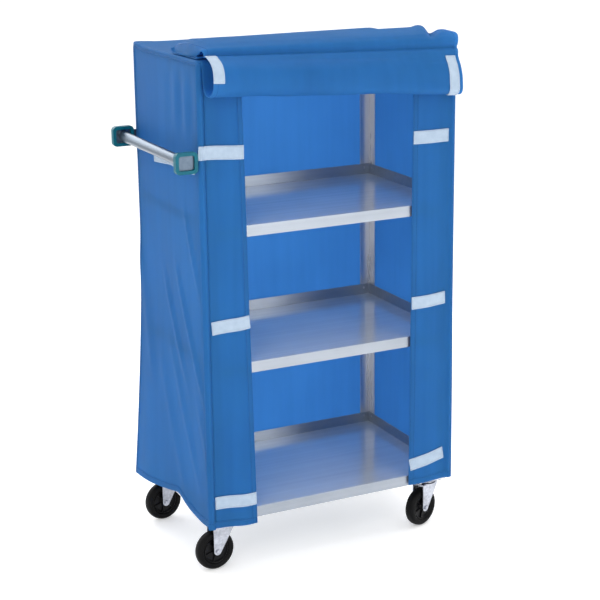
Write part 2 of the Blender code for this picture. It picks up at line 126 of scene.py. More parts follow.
def add_studio():
    scene = bpy.context.scene
    scene.view_settings.view_transform = "Standard"
    world = bpy.data.worlds.new("studio")
    world.use_nodes = True
    tree = world.node_tree
    direction = tree.nodes.new("ShaderNodeSeparateXYZ")
    tree.links.new(tree.nodes.new("ShaderNodeTexCoord").outputs["Generated"], direction.inputs[0])
    strength = tree.nodes.new("ShaderNodeMapRange")
    for key, value in (("From Min", -0.75), ("From Max", 0.05), ("To Min", 0.60), ("To Max", 1.05)):
        strength.inputs[key].default_value = value
    tree.links.new(direction.outputs["Y"], strength.inputs["Value"])
    tree.nodes["Background"].inputs["Color"].default_value = (1.0, 1.0, 1.0, 1)
    tree.links.new(strength.outputs["Result"], tree.nodes["Background"].inputs["Strength"])
    scene.world = world
    add_area_light("key", (-2.6, -3.4, 3.4), 0.9, 2.4, 50)
    add_area_light("front", (1.2, -4.2, 1.5), 0.8, 2.0, 42)
    add_area_light("right", (3.4, 0.2, 2.6), 0.8, 2.0, 28)
    add_area_light("back", (-0.6, 4.0, 2.4), 0.9, 2.6, 75)
    add_area_light("top", (0.2, 0.4, 4.2), 0.8, 2.6, 34)
    bm = bmesh.new()
    bmesh.ops.create_grid(bm, x_segments=1, y_segments=1, size=40)
    floor = new_object("floor", finished_mesh("floor", bm))
    floor.location.z = -0.0005
    floor.data.materials.append(floor_material())


# ---- Materials ----------------------------------------------------------------------------------
class Nodes:
    """Shorthand for building one material's node tree."""

    def __init__(self, name):
        self.material = bpy.data.materials.new(name)
        self.material.use_nodes = True
        self.tree = self.material.node_tree
        self.shader = self.tree.nodes["Principled BSDF"]

    def add(self, kind, inputs=(), **settings):
        node = self.tree.nodes.new(kind)
        for key, value in settings.items():
            setattr(node, key, value)
        for key, value in dict(inputs).items():
            node.inputs[key].default_value = value
        return node

    def feed(self, socket, value):
        """Put a number, a colour or another node's output on a socket."""
        if isinstance(value, tuple):
            socket.default_value = (*value, 1)
        elif isinstance(value, (int, float)):
            socket.default_value = value
        else:
            self.tree.links.new(value, socket)

    def noise(self, scale, detail=3.0, stretch=(1, 1, 1)):
        place = self.add("ShaderNodeTexCoord")
        mapping = self.add("ShaderNodeMapping", {"Scale": stretch})
        texture = self.add("ShaderNodeTexNoise", {"Scale": scale, "Detail": detail})
        self.feed(mapping.inputs["Vector"], place.outputs["Object"])
        self.feed(texture.inputs["Vector"], mapping.outputs["Vector"])
        return texture.outputs["Fac"]

    def spread(self, value, low, high, from_low=0.3, from_high=0.7):
        """Map a 0 to 1 value onto a range."""
        node = self.add("ShaderNodeMapRange", {"From Min": from_low, "From Max": from_high,
                                               "To Min": low, "To Max": high})
        self.feed(node.inputs["Value"], value)
        return node.outputs["Result"]

    def mix(self, factor, first, second):
        node = self.add("ShaderNodeMix", data_type="RGBA")
        for socket, value in ((0, factor), (6, first), (7, second)):
            self.feed(node.inputs[socket], value)
        return node.outputs[2]

    def math(self, operation, *values):
        node = self.add("ShaderNodeMath", operation=operation)
        for socket, value in zip(node.inputs, values):
            self.feed(socket, value)
        return node.outputs[0]

    def bump(self, height, strength, distance):
        node = self.add("ShaderNodeBump", {"Strength": strength, "Distance": distance})
        self.feed(node.inputs["Height"], height)
        self.feed(self.shader.inputs["Normal"], node.outputs["Normal"])

    def set(self, **values):
        for key, value in values.items():
            self.feed(self.shader.inputs[key.replace("_", " ")], value)
        return self.material


def floor_material():
    nodes = Nodes("studio_floor")
    tone = nodes.mix(nodes.spread(nodes.noise(2.0), 0, 1), (0.90, 0.90, 0.90), (0.93, 0.93, 0.93))
    return nodes.set(Base_Color=tone, Roughness=0.9, Emission_Color=(1.0, 1.0, 1.0), Emission_Strength=0.30)


def brushed_metal(name, dark, light, rough, stretch, metallic=0.85):
    """Sheet metal with fine brushing drawn out along one axis, and faint wider cloudiness."""
    nodes = Nodes(name)
    streaks = nodes.noise(60.0, 4.0, stretch)
    clouds = nodes.noise(6.0, 2.0)
    blend = nodes.math("ADD", nodes.math("MULTIPLY", streaks, 0.6), nodes.math("MULTIPLY", clouds, 0.4))
    colour = nodes.mix(nodes.spread(blend, 0, 1), dark, light)
    nodes.bump(streaks, 0.12, 0.0003)
    return nodes.set(Base_Color=colour, Metallic=metallic,
                     Roughness=nodes.spread(blend, rough * 0.8, rough * 1.25))


def zinc_metal():
    nodes = Nodes("zinc_plate")
    spangle = nodes.noise(140.0, 2.0)
    grime = nodes.noise(22.0, 4.0)
    colour = nodes.mix(nodes.spread(spangle, 0, 1), (0.42, 0.44, 0.50), (0.60, 0.62, 0.68))
    colour = nodes.mix(nodes.spread(grime, 0, 0.35, 0.45, 0.75), colour, (0.16, 0.16, 0.17))
    nodes.bump(spangle, 0.10, 0.0002)
    return nodes.set(Base_Color=colour, Metallic=1.0, Roughness=nodes.spread(grime, 0.26, 0.48))


def tyre_rubber():
    nodes = Nodes("black_rubber")
    dust = nodes.noise(30.0, 5.0)
    grain = nodes.noise(900.0, 2.0)
    colour = nodes.mix(nodes.spread(dust, 0, 1, 0.45, 0.80), (0.0015, 0.0015, 0.002), (0.007, 0.0065, 0.0065))
    nodes.bump(grain, 0.15, 0.0002)
    return nodes.set(Base_Color=colour, Roughness=nodes.spread(dust, 0.40, 0.58), Specular_IOR_Level=0.12)


def wheel_plastic():
    nodes = Nodes("black_plastic")
    dust = nodes.noise(45.0, 4.0)
    colour = nodes.mix(nodes.spread(dust, 0, 1, 0.5, 0.85), (0.002, 0.002, 0.003), (0.009, 0.009, 0.010))
    nodes.bump(nodes.noise(600.0, 2.0), 0.08, 0.0002)
    return nodes.set(Base_Color=colour, Roughness=nodes.spread(dust, 0.26, 0.42), Specular_IOR_Level=0.18)


def teal_vinyl():
    nodes = Nodes("teal_vinyl")
    mottle = nodes.noise(70.0, 3.0)
    colour = nodes.mix(nodes.spread(mottle, 0, 1), (0.001, 0.100, 0.145), (0.002, 0.130, 0.180))
    nodes.bump(nodes.noise(700.0, 2.0), 0.2, 0.0002)
    return nodes.set(Base_Color=colour, Roughness=nodes.spread(mottle, 0.36, 0.50), Specular_IOR_Level=0.20)


def weave(nodes, threads_per_metre):
    """Height of a plain weave, laid out in the cloth's own metres by its UV map."""
    split = nodes.add("ShaderNodeSeparateXYZ")
    nodes.feed(split.inputs[0], nodes.add("ShaderNodeUVMap").outputs["UV"])
    waves = []
    for axis in ("X", "Y"):
        turn = nodes.math("MULTIPLY", split.outputs[axis], math.pi * threads_per_metre)
        waves.append(nodes.math("ABSOLUTE", nodes.math("SINE", turn)))
    return nodes.math("MAXIMUM", *waves)


def cover_cloth():
    """Coated plain-weave nylon: even blue, soft sheen, and some light comes through it."""
    nodes = Nodes("blue_coated_nylon")
    soft = nodes.noise(3.5, 3.0)
    streaks = nodes.noise(40.0, 3.0, (1, 1, 0.06))
    tone = nodes.math("ADD", nodes.math("MULTIPLY", soft, 0.6), nodes.math("MULTIPLY", streaks, 0.4))
    shade = nodes.spread(tone, 0, 1, 0.35, 0.65)
    colour = nodes.mix(shade, (0.028, 0.200, 0.480), (0.035, 0.240, 0.550))
    threads = weave(nodes, 900.0)
    crumple = nodes.noise(55.0, 4.0)
    height = nodes.math("ADD", nodes.math("MULTIPLY", threads, 0.35), nodes.math("MULTIPLY", crumple, 0.65))
    nodes.bump(height, 0.30, 0.0012)
    nodes.set(Base_Color=colour, Roughness=nodes.spread(tone, 0.50, 0.64), Specular_IOR_Level=0.22,
              Sheen_Weight=0.08, Sheen_Roughness=0.45, Sheen_Tint=(0.45, 0.68, 1.0))
    through = nodes.add("ShaderNodeBsdfTranslucent")
    nodes.feed(through.inputs["Color"], nodes.mix(shade, (0.210, 0.460, 0.780), (0.230, 0.500, 0.840)))
    blend = nodes.add("ShaderNodeMixShader", {0: 0.58})
    nodes.feed(blend.inputs[1], nodes.shader.outputs[0])
    nodes.feed(blend.inputs[2], through.outputs[0])
    nodes.feed(nodes.tree.nodes["Material Output"].inputs["Surface"], blend.outputs[0])
    return nodes.material


def white_tape():
    """Woven hook-and-loop backing: ribbed across, with painted shade greying the hollows between the threads."""
    nodes = Nodes("white_tape")
    soft = nodes.noise(60.0, 3.0)
    threads = weave(nodes, 1300.0)
    colour = nodes.mix(nodes.spread(soft, 0, 1), (0.37, 0.47, 0.59), (0.43, 0.53, 0.65))
    # Painted shade: the low places of the weave are mixed towards grey.
    colour = nodes.mix(nodes.spread(threads, 0.35, 0, 0.5, 0.9), colour, (0.27, 0.36, 0.47))
    nodes.bump(threads, 0.5, 0.0004)
    return nodes.set(Base_Color=colour, Roughness=0.82, Sheen_Weight=0.1)


def thread(name, colour, pale):
    nodes = Nodes(name)
    twist = nodes.noise(1500.0, 2.0)
    nodes.bump(twist, 0.5, 0.0002)
    return nodes.set(Base_Color=nodes.mix(nodes.spread(twist, 0, 1), colour, pale), Roughness=0.6)


# ---- Mesh helpers -------------------------------------------------------------------------------
def smooth_curve(points, per_step):
    """Catmull-Rom curve through the points, as an array."""
    points = np.asarray(points, float)
    padded = np.vstack([2 * points[0] - points[1], points, 2 * points[-1] - points[-2]])
    t = np.arange(per_step)[:, None] / per_step
    runs = []
    for a, b, c, d in zip(padded, padded[1:], padded[2:], padded[3:]):
        runs.append(0.5 * (2 * b + (c - a) * t + (2 * a - 5 * b + 4 * c - d) * t**2
                           + (3 * b - a - 3 * c + d) * t**3))
    return np.vstack(runs + [points[-1:]])


def arc_lengths(points):
    steps = np.linalg.norm(np.diff(points, axis=0), axis=1)
    return np.concatenate([[0.0], np.cumsum(steps)])


def unit(vectors):
    return vectors / np.linalg.norm(vectors, axis=-1, keepdims=True)


def evenly(points, spacing):
    """The same curve with points about one spacing apart."""
    length = arc_lengths(points)
    stations = np.linspace(0, length[-1], max(2, int(round(length[-1] / spacing)) + 1))
    return np.stack([np.interp(stations, length, points[:, k]) for k in range(points.shape[1])], axis=1)


def smoothstep(value, low, high):
    x = np.clip((np.asarray(value, float) - low) / (high - low), 0, 1)
    return x * x * (3 - 2 * x)


def window(value, low, full_from, full_to, high):
    """Rises from 0 to 1 between the first two places and falls back between the last two."""
    return smoothstep(value, low, full_from) * (1 - smoothstep(value, full_to, high))


def bell(value, middle, width):
    return np.exp(-((np.asarray(value, float) - middle) / width) ** 2)


def waver(x, y, seed=0.0):
    """Smooth noise from about -1 to 1 at each pair of coordinates."""
    x, y = np.broadcast_arrays(x, y)
    values = [noise.noise((float(a), float(b), seed)) for a, b in zip(x.ravel(), y.ravel())]
    return 1.6 * np.array(values).reshape(x.shape)


def refined(grid, axis):
    """A grid of points with a cubic midpoint put between each pair along one axis."""
    grid = np.moveaxis(grid, axis, 0)
    before = np.concatenate([2 * grid[:1] - grid[1:2], grid[:-2]])
    after = np.concatenate([grid[2:], 2 * grid[-1:] - grid[-2:-1]])
    middle = (9 * (grid[:-1] + grid[1:]) - before - after) / 16
    out = np.empty((2 * len(grid) - 1, *grid.shape[1:]))
    out[0::2], out[1::2] = grid, middle
    return np.moveaxis(out, 0, axis)


def grid_normals(points):
    along = np.gradient(points, axis=0)
    down = np.gradient(points, axis=1)
    normals = np.cross(along, down)
    return normals / np.maximum(np.linalg.norm(normals, axis=2, keepdims=True), 1e-12)


class Surface:
    """A curved cloth as a grid of points, looked up by two lengths in metres, along and down."""

    def __init__(self, points, along, down):
        self.points, self.along, self.down = points, np.asarray(along), np.asarray(down)
        self.normals = grid_normals(points)

    def _cell(self, stations, value):
        cell = np.clip(np.searchsorted(stations, value) - 1, 0, len(stations) - 2)
        return cell, (value - stations[cell]) / (stations[cell + 1] - stations[cell])

    def _sample(self, grid, along, down):
        i, fi = self._cell(self.along, along)
        j, fj = self._cell(self.down, down)
        fi, fj = fi[..., None], fj[..., None]
        return ((grid[i, j] * (1 - fi) + grid[i + 1, j] * fi) * (1 - fj)
                + (grid[i, j + 1] * (1 - fi) + grid[i + 1, j + 1] * fi) * fj)

    def at(self, along, down, lift=0.0):
        along, down = np.broadcast_arrays(np.asarray(along, float), np.asarray(down, float))
        return (self._sample(self.points, along, down)
                + np.asarray(lift)[..., None] * self._sample(self.normals, along, down))

    def down_at(self, along, height):
        """How far down the cloth a height lies, at one place along it."""
        i, part = self._cell(self.along, np.asarray(float(along)))
        column = self.points[i, :, 2] * (1 - part) + self.points[i + 1, :, 2] * part
        return float(np.interp(-height, -column, self.down))


def new_piece(name, vertices, faces, mat, slot, body=ROOT, node=None, uvs=None, sharp=None):
    """A mesh piece from points about the trolley's middle, riding on a body and standing for a CAD node."""
    mesh = bpy.data.meshes.new(name)
    vertices = np.asarray(vertices) + np.array(CENTRE)
    if isinstance(faces, np.ndarray):
        used, faces = np.unique(faces, return_inverse=True)
        faces = faces.reshape(-1, 4).tolist()
        vertices = vertices[used]
        uvs = None if uvs is None else uvs[used]
    mesh.from_pydata(vertices.tolist(), [], faces)
    if uvs is not None:
        layer = mesh.uv_layers.new(name="cloth")
        corner_vertex = np.empty(len(mesh.loops), dtype=np.int32)
        mesh.loops.foreach_get("vertex_index", corner_vertex)
        layer.data.foreach_set("uv", np.asarray(uvs, float)[corner_vertex].ravel())
    mesh.update()
    mesh.shade_smooth()
    if sharp:
        mesh.set_sharp_from_angle(angle=math.radians(sharp))
    obj = new_object(name, mesh)
    mesh.materials.append(mat)
    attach(obj, body)
    if node:
        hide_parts(node)
    return obj


def slab_faces(kept):
    """Faces of a closed thin slab whose outer grid comes before its inner grid, with the kept cells only."""
    rows, columns = kept.shape[0] + 1, kept.shape[1] + 1
    index = np.arange(rows * columns).reshape(rows, columns)
    corners = np.stack([index[:-1, :-1], index[1:, :-1], index[1:, 1:], index[:-1, 1:]], axis=-1)
    outer = corners[kept]
    faces = [outer, outer[:, ::-1] + rows * columns]
    around = np.pad(kept, 1)
    neighbours = (around[1:-1, :-2], around[2:, 1:-1], around[1:-1, 2:], around[:-2, 1:-1])
    for side, neighbour in enumerate(neighbours):
        edge = corners[kept & ~neighbour]
        a, b = edge[:, side], edge[:, (side + 1) % 4]
        faces.append(np.stack([b, a, a + rows * columns, b + rows * columns], axis=-1))
    return np.vstack(faces)


def slab(name, outer, inner, along, down, mat, holes=None, **how):
    """A closed thin piece between two grids of points, mapped by its lengths along and down in metres."""
    kept = np.ones((len(along) - 1, len(down) - 1), bool) if holes is None else ~holes
    uv = np.stack(np.meshgrid(along, down, indexing="ij"), axis=-1).reshape(-1, 2)
    return new_piece(name, np.vstack([outer.reshape(-1, 3), inner.reshape(-1, 3)]), slab_faces(kept), mat,
                     uvs=np.vstack([uv, uv]), **how)


def cloth_slab(name, surface, thickness, mat, holes=None, **how):
    """A closed sheet of one thickness, or of a thickness given at every grid point."""
    half = np.broadcast_to(np.asarray(thickness) / 2, surface.points.shape[:2])[..., None] * surface.normals
    return slab(name, surface.points + half, surface.points - half, surface.along, surface.down, mat, holes,
                **how)


def ribbon(name, surface, line, width, mat, lift, thickness, **how):
    """A tape laid on a cloth along a line of (along, down) places, with softly rounded edges."""
    line = evenly(np.asarray(line, float), 0.006)
    run = unit(np.gradient(line, axis=0))
    side = np.stack([-run[:, 1], run[:, 0]], axis=1)
    across = np.array([-1, -0.94, -0.6, -0.2, 0.2, 0.6, 0.94, 1]) * width / 2
    place = line[:, None] + across[:, None] * side[:, None]
    half = (1 - 0.75 * (np.abs(across) > 0.97 * width / 2)) * thickness / 2
    outer, inner = (surface.at(place[..., 0], place[..., 1], lift + offset) for offset in (half, -half))
    facing = np.cross(outer[1, 0] - outer[0, 0], outer[0, 1] - outer[0, 0]) @ (outer[0, 0] - inner[0, 0])
    if facing < 0:
        outer, inner = outer[:, ::-1], inner[:, ::-1]
    return slab(name, outer, inner, arc_lengths(line), across, mat, sharp=50, **how)


def ring_faces(count, segments, closed):
    """Faces between rings of points, the last joined to the first or both ends capped."""
    faces = []
    for k in range(count if closed else count - 1):
        a, b = k * segments, (k + 1) % count * segments
        for j in range(segments):
            n = (j + 1) % segments
            faces.append([a + j, a + n, b + n, b + j])
    if not closed:
        faces.append(list(range(segments))[::-1])
        faces.append(list(range((count - 1) * segments, count * segments)))
    return faces


def tube(line, radius, segments, closed=False):
    """Vertices and faces of a round tube along a line, closed into a ring or capped."""
    line = np.asarray(line, float)
    run = unit(np.roll(line, -1, 0) - np.roll(line, 1, 0) if closed else np.gradient(line, axis=0))
    side = np.cross(run, (0.013, 0.021, 1.0))
    short = np.linalg.norm(side, axis=1) < 0.3
    side[short] = np.cross(run[short], (1.0, 0.017, 0.011))
    side = unit(side)
    other = np.cross(run, side)
    turn = np.arange(segments) * 2 * math.pi / segments
    ring = np.cos(turn)[:, None] * side[:, None] + np.sin(turn)[:, None] * other[:, None]
    return (line[:, None] + radius * ring).reshape(-1, 3), ring_faces(len(line), segments, closed)


STITCH_PITCH, THREAD_RADIUS = 0.0042, 0.00035


def stitch_row(surface, line, lift):
    """Short raised threads along a line of (along, down) places: vertices and faces."""
    line = evenly(np.asarray(line, float), STITCH_PITCH)
    share = np.array([0.10, 0.28, 0.72, 0.90])[:, None]
    bow = lift + THREAD_RADIUS * np.array([-0.8, 0.6, 0.6, -0.8])
    threads = []
    for start, end in zip(line[:-1], line[1:]):
        places = start + (end - start) * share
        threads.append(tube(surface.at(places[:, 0], places[:, 1], bow), THREAD_RADIUS, 4))
    return joined(threads)


def stitch_loop(surface, corners, lift):
    """Stitching from corner to corner and back to the first."""
    return joined([stitch_row(surface, pair, lift) for pair in zip(corners, [*corners[1:], corners[0]])])


def joined(parts):
    """Several (vertices, faces) pairs as one."""
    vertices, faces, offset = [], [], 0
    for part, part_faces in parts:
        vertices.append(part)
        faces += [[index + offset for index in face] for face in part_faces]
        offset += len(part)
    return np.vstack(vertices), faces


# ---- Cover: the hung body -----------------------------------------------------------------------
CLOTH = 0.0011                       # thickness of the cover cloth
COVER_X = HALF_W + 0.0045            # middle of the cloth on the sides, front and back
COVER_Y = HALF_D + 0.0045
COVER_CORNER = 0.013
ROOF_Z = POSTS_HIGH.z + 0.0048
HEM_WIDTH = 0.022
HANDLE_LOW, HANDLE_HIGH = node_box("handle_bar")
HANDLE_Z = (HANDLE_LOW.z + HANDLE_HIGH.z) / 2
TANG_LOW, TANG_HIGH = node_box("handle_bracket_front")
SLIT_HALF = 0.0205                   # the slit in the cloth above and below the middle of the bar
WALL_SPACING, WALL_ROWS = 0.015, 79  # grid of the hanging cloth: step round the trolley, points down it

# Doorway edges (height, X) of the two front flaps, and the height of the hem round the trolley
LEFT_DOOR_EDGE = ((1.56, -0.286), (0.80, -0.276), (0.14, -0.263))
RIGHT_DOOR_EDGE = ((1.56, 0.277), (0.80, 0.273), (0.14, 0.270))
LEFT_HEM = ((-0.262, 0.149), (-0.19, 0.143), (-0.12, 0.150), (-0.07, 0.166), (-0.030, 0.184),
            (0.02, 0.177), (0.10, 0.166), (0.19, 0.159), (0.262, 0.155))
BACK_HEM = ((-0.417, 0.155), (-0.20, 0.163), (0.0, 0.152), (0.22, 0.160), (0.417, 0.152))
RIGHT_HEM = ((0.262, 0.152), (0.10, 0.161), (-0.08, 0.151), (-0.262, 0.163))

# Drag folds on the handle side: Y where each crosses the middle height, lean, height span, size, width
DRAG_FOLDS = (
    (-0.329, 0.42, 0.86, 1.16, 0.0062, 0.014),
    (-0.194, 0.49, 0.54, 0.98, 0.0072, 0.016),
    (-0.080, 0.52, 0.58, 0.94, 0.0064, 0.016),
    (-0.150, 0.38, 0.22, 0.60, 0.0042, 0.019),
    (-0.010, 0.46, 0.25, 0.72, 0.0048, 0.020),
    (0.090, 0.40, 0.20, 0.66, 0.0038, 0.023),
    (0.170, 0.30, 0.52, 1.02, 0.0038, 0.026),
)
FLARE = 0.048                        # the rear corner on the handle side hangs this far out at the hem


def plan_arc(x, y, radius, start, sweep, count):
    """Points round a corner of a plan line, from one direction in degrees."""
    turn = np.radians(start + np.linspace(0, sweep, count))
    return np.stack([x + radius * np.cos(turn), y + radius * np.sin(turn)], axis=1)


def wall_path():
    """The cover's plan line from one doorway edge round the trolley to the other."""
    left, right = LEFT_DOOR_EDGE[-1][1], RIGHT_DOOR_EDGE[-1][1]
    x, y = COVER_X - COVER_CORNER, COVER_Y - COVER_CORNER
    legs = [np.array([(left, -COVER_Y), (-x, -COVER_Y)])]
    for cx, cy, start in ((-x, -y, 270), (-x, y, 180), (x, y, 90), (x, -y, 0)):
        legs.append(plan_arc(cx, cy, COVER_CORNER, start, -90, 5))
    legs.append(np.array([(right, -COVER_Y)]))
    ends = np.vstack(legs)
    stations = []
    for a, b in zip(ends, ends[1:]):
        steps = max(1, int(round(np.linalg.norm(b - a) / WALL_SPACING)))
        stations += [a + (b - a) * k / steps for k in range(steps)]
    return np.array(stations + [ends[-1]])


def along_heights(table, value):
    """Straight between a few (height, place) points."""
    return np.interp(value, *zip(*sorted(table)))


def roof_height(x, y):
    """The cover's top: flat on the deck, pushed up a little by the post behind the handle."""
    return ROOF_Z + 0.005 * bell(x, -HALF_W, 0.060) * bell(y, HALF_D, 0.060)


def hem_height(x, y):
    """Height of the bottom edge at each place on the plan line."""
    front_left = 0.141 + 0.008 * smoothstep(-x, 0.27, 0.40)
    front_right = 0.160 + 0.003 * smoothstep(x, 0.28, 0.40)
    front = np.where(x < 0, front_left, front_right)
    side = np.where(x < 0, smooth_hem(LEFT_HEM, y), smooth_hem(RIGHT_HEM, y))
    side = np.where(y > COVER_Y - 0.004, smooth_hem(BACK_HEM, x), side)
    return np.where(y < -COVER_Y + 0.004, front, side)


def smooth_hem(table, value):
    """A soft curve through a few (place, height) points."""
    curve = smooth_curve(sorted(table), 8)
    return np.interp(value, curve[:, 0], curve[:, 1])


def hanging_low(z):
    """From 0 at the middle of the trolley to 1 at the hem."""
    return np.clip((0.92 - z) / 0.77, 0, 1) ** 1.35


def outward_folds(x, y, z, along):
    """How far the cloth stands off its flat wall: drag folds and soft vertical waves."""
    down = smoothstep(-z, -1.50, -0.20)
    on_left = (x < -COVER_X + 0.006) & (np.abs(y) < COVER_Y - 0.004)
    on_front = y < -COVER_Y + 0.006
    on_back = y > COVER_Y - 0.006
    on_right = (x > COVER_X - 0.006) & ~on_front & ~on_back
    folds = 0
    for crossing, lean, bottom, top, size, width in DRAG_FOLDS:
        middle = crossing + lean * (z - 0.62)
        extent = window(z, bottom - 0.08, bottom + 0.10, top - 0.14, top)
        folds = folds + size * extent * bell(y, middle, width)
    above = 0.0035 * np.sin(y * 74 + 0.8) * bell(y, -0.14, 0.11) * smoothstep(z, 1.30, 1.40)
    out = np.where(on_left, folds + above, 0)
    wave = waver(along * 7.0, z * 0.9, 3.1) + 0.5 * waver(along * 17.0, z * 1.4, 8.2)
    size = 0.0015 + 0.0045 * down
    out = out + size * np.where(on_left, 0.45, 1.0) * np.where(on_front, 0.35, 1.0) * (wave + 0.25)
    left_flap = 0.0050 * bell(x, -0.305, 0.030) * smoothstep(-z, -1.45, -1.2)
    right_flap = 0.0060 * bell(x, 0.335, 0.038) * smoothstep(-z, -1.45, -1.2)
    out = out + np.where(on_front, left_flap + right_flap, 0)
    out = out + np.where(on_right, 0.006 * hanging_low(z) * smoothstep(-y, -0.10, 0.20), 0)
    return out * smoothstep(-z, -1.545, -1.44)


def wall_start():
    """Sewn shape of the cover body before it hangs: its grid of points and how far along each column is."""
    plan = wall_path()
    along = arc_lengths(plan)
    run = unit(np.gradient(plan, axis=0))
    x, y = plan.T
    top = (roof_height(x, y) - 0.0030)[:, None]
    z = top + (hem_height(x, y)[:, None] - top) * np.linspace(0, 1, WALL_ROWS)
    X, Y, S = (np.repeat(v[:, None], WALL_ROWS, axis=1) for v in (x, y, along))
    slide_left = along_heights(LEFT_DOOR_EDGE, z) - LEFT_DOOR_EDGE[-1][1]
    slide_right = along_heights(RIGHT_DOOR_EDGE, z) - RIGHT_DOOR_EDGE[-1][1]
    X = X + slide_left * (1 - smoothstep(S, 0.0, 0.13))
    X = X + slide_right * smoothstep(S, along[-1] - 0.13, along[-1])
    stand = outward_folds(X, Y, z, S)
    flare = FLARE * hanging_low(z) * smoothstep(Y, -0.16, COVER_Y) * smoothstep(-X, 0.12, 0.40)
    X = X - stand * run[:, 1:] - flare
    Y = Y + stand * run[:, :1] + 0.3 * flare
    return np.stack([X, Y, z], axis=-1), along


def frame_proxy():
    """Solid stand-in for the posts, shelves and deck, for the cloth to meet while it hangs."""
    bm = bmesh.new()
    blocks = [node_box(f"post_{corner}") for corner in CORNERS]
    blocks += [node_box(name) for name in ("shelf_bottom", "shelf_middle", "shelf_upper", "top_deck")]
    for low, high in blocks:
        size, middle = high - low, (high + low) / 2 + CENTRE
        place = Matrix.Translation(middle) @ Matrix.Diagonal((*size, 1))
        bmesh.ops.create_cube(bm, size=1, matrix=place)
    proxy = new_object("frame_proxy", finished_mesh("frame_proxy", bm))
    proxy.modifiers.new("meet", "COLLISION")
    proxy.collision.thickness_outer = 0.0015
    proxy.collision.cloth_friction = 12
    return proxy


def hang_cloth(points, hold, frames):
    """Let a grid of cloth hang for some frames. hold is how firmly each point keeps its place, 0 to 1."""
    rows, columns = points.shape[:2]
    index = np.arange(rows * columns).reshape(rows, columns)
    faces = np.stack([index[:-1, :-1], index[:-1, 1:], index[1:, 1:], index[1:, :-1]], axis=-1)
    mesh = bpy.data.meshes.new("hanging")
    mesh.from_pydata((points.reshape(-1, 3) + np.array(CENTRE)).tolist(), [], faces.reshape(-1, 4).tolist())
    cloth = new_object("hanging", mesh)
    held = cloth.vertex_groups.new(name="held")
    for vertex, weight in enumerate(hold.ravel()):
        held.add([vertex], float(weight), "REPLACE")
    proxy = frame_proxy()
    settings = cloth.modifiers.new("hang", "CLOTH").settings
    settings.quality = 6
    settings.mass = 12.0 / len(mesh.vertices)
    settings.air_damping = 2.0
    settings.tension_stiffness = settings.compression_stiffness = 25
    settings.shear_stiffness = 8
    settings.bending_stiffness = 0.6
    settings.tension_damping = settings.compression_damping = 10
    settings.vertex_group_mass = "held"
    settings.pin_stiffness = 0.6
    collisions = cloth.modifiers["hang"].collision_settings
    collisions.distance_min = 0.0015
    collisions.collision_quality = 3
    scene = bpy.context.scene
    scene.frame_start, scene.frame_end = 1, frames
    cloth.modifiers["hang"].point_cache.frame_end = frames
    for frame_number in range(1, frames + 1):
        scene.frame_set(frame_number)
    settled = cloth.evaluated_get(bpy.context.evaluated_depsgraph_get()).to_mesh()
    out = np.empty(len(settled.vertices) * 3)
    settled.vertices.foreach_get("co", out)
    scene.frame_set(1)
    for obj in (cloth, proxy):
        bpy.data.objects.remove(obj)
    return out.reshape(rows, columns, 3) - np.array(CENTRE)


def hung_wall():
    """The cover body as it hangs, as a surface looked up by metres along it and down it."""
    start, along = wall_start()
    points = start
    hold = np.full(start.shape[:2], 0.035)
    hold[:, :4] = (1.0, 0.6, 0.4, 0.2)
    move = hang_cloth(start, hold, 26) - start
    far = np.linalg.norm(move, axis=2, keepdims=True)
    # Movement is kept to 12 mm, and to 1.5 mm where the rear posts stand behind the cloth
    plan = wall_path()
    from_rear_corner = np.hypot(COVER_X - np.abs(plan[:, 0]), COVER_Y - plan[:, 1])
    most = 0.0015 + 0.0105 * smoothstep(from_rear_corner, 0.012, 0.060)[:, None, None]
    move *= np.minimum(1, most / np.maximum(far, 1e-9))
    move[..., 2] -= move[:, -1:, 2] * np.linspace(0, 1, WALL_ROWS)
    points = start + move
    fine = refined(refined(points, 0), 1)
    fine_along = np.interp(np.arange(2 * len(along) - 1) / 2, np.arange(len(along)), along)
    down = np.linspace(0, float(np.mean(points[:, 0, 2] - points[:, -1, 2])), fine.shape[1])
    return Surface(fine, fine_along, down)


def side_place(wall, x, y):
    """How far along the cover body a place on the plan line is."""
    row = wall.points[:, 8]
    return float(wall.along[np.argmin((row[:, 0] - x) ** 2 + (row[:, 1] - y) ** 2)])


def add_cover_body(wall, cloth):
    """The one sewn sheet that hangs round the frame, slit where the handle's brackets come through."""
    middles = (wall.points[:-1, :-1] + wall.points[1:, 1:]) / 2
    x, y, z = middles[..., 0], np.abs(middles[..., 1]), middles[..., 2]
    tang_y = np.abs((TANG_LOW.y, TANG_HIGH.y))
    slit = ((x < -HALF_W + 0.0045) & (y > tang_y.min() - 0.0016) & (y < tang_y.max() + 0.0016)
            & (np.abs(z - HANDLE_Z) < SLIT_HALF))
    body = cloth_slab("cover_body", wall, CLOTH, cloth, holes=slit, slot="cover_cloth")
    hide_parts("cover_back_panel", "cover_left_panel", "cover_right_panel", "front_flap_left",
                "front_flap_right")
    return body


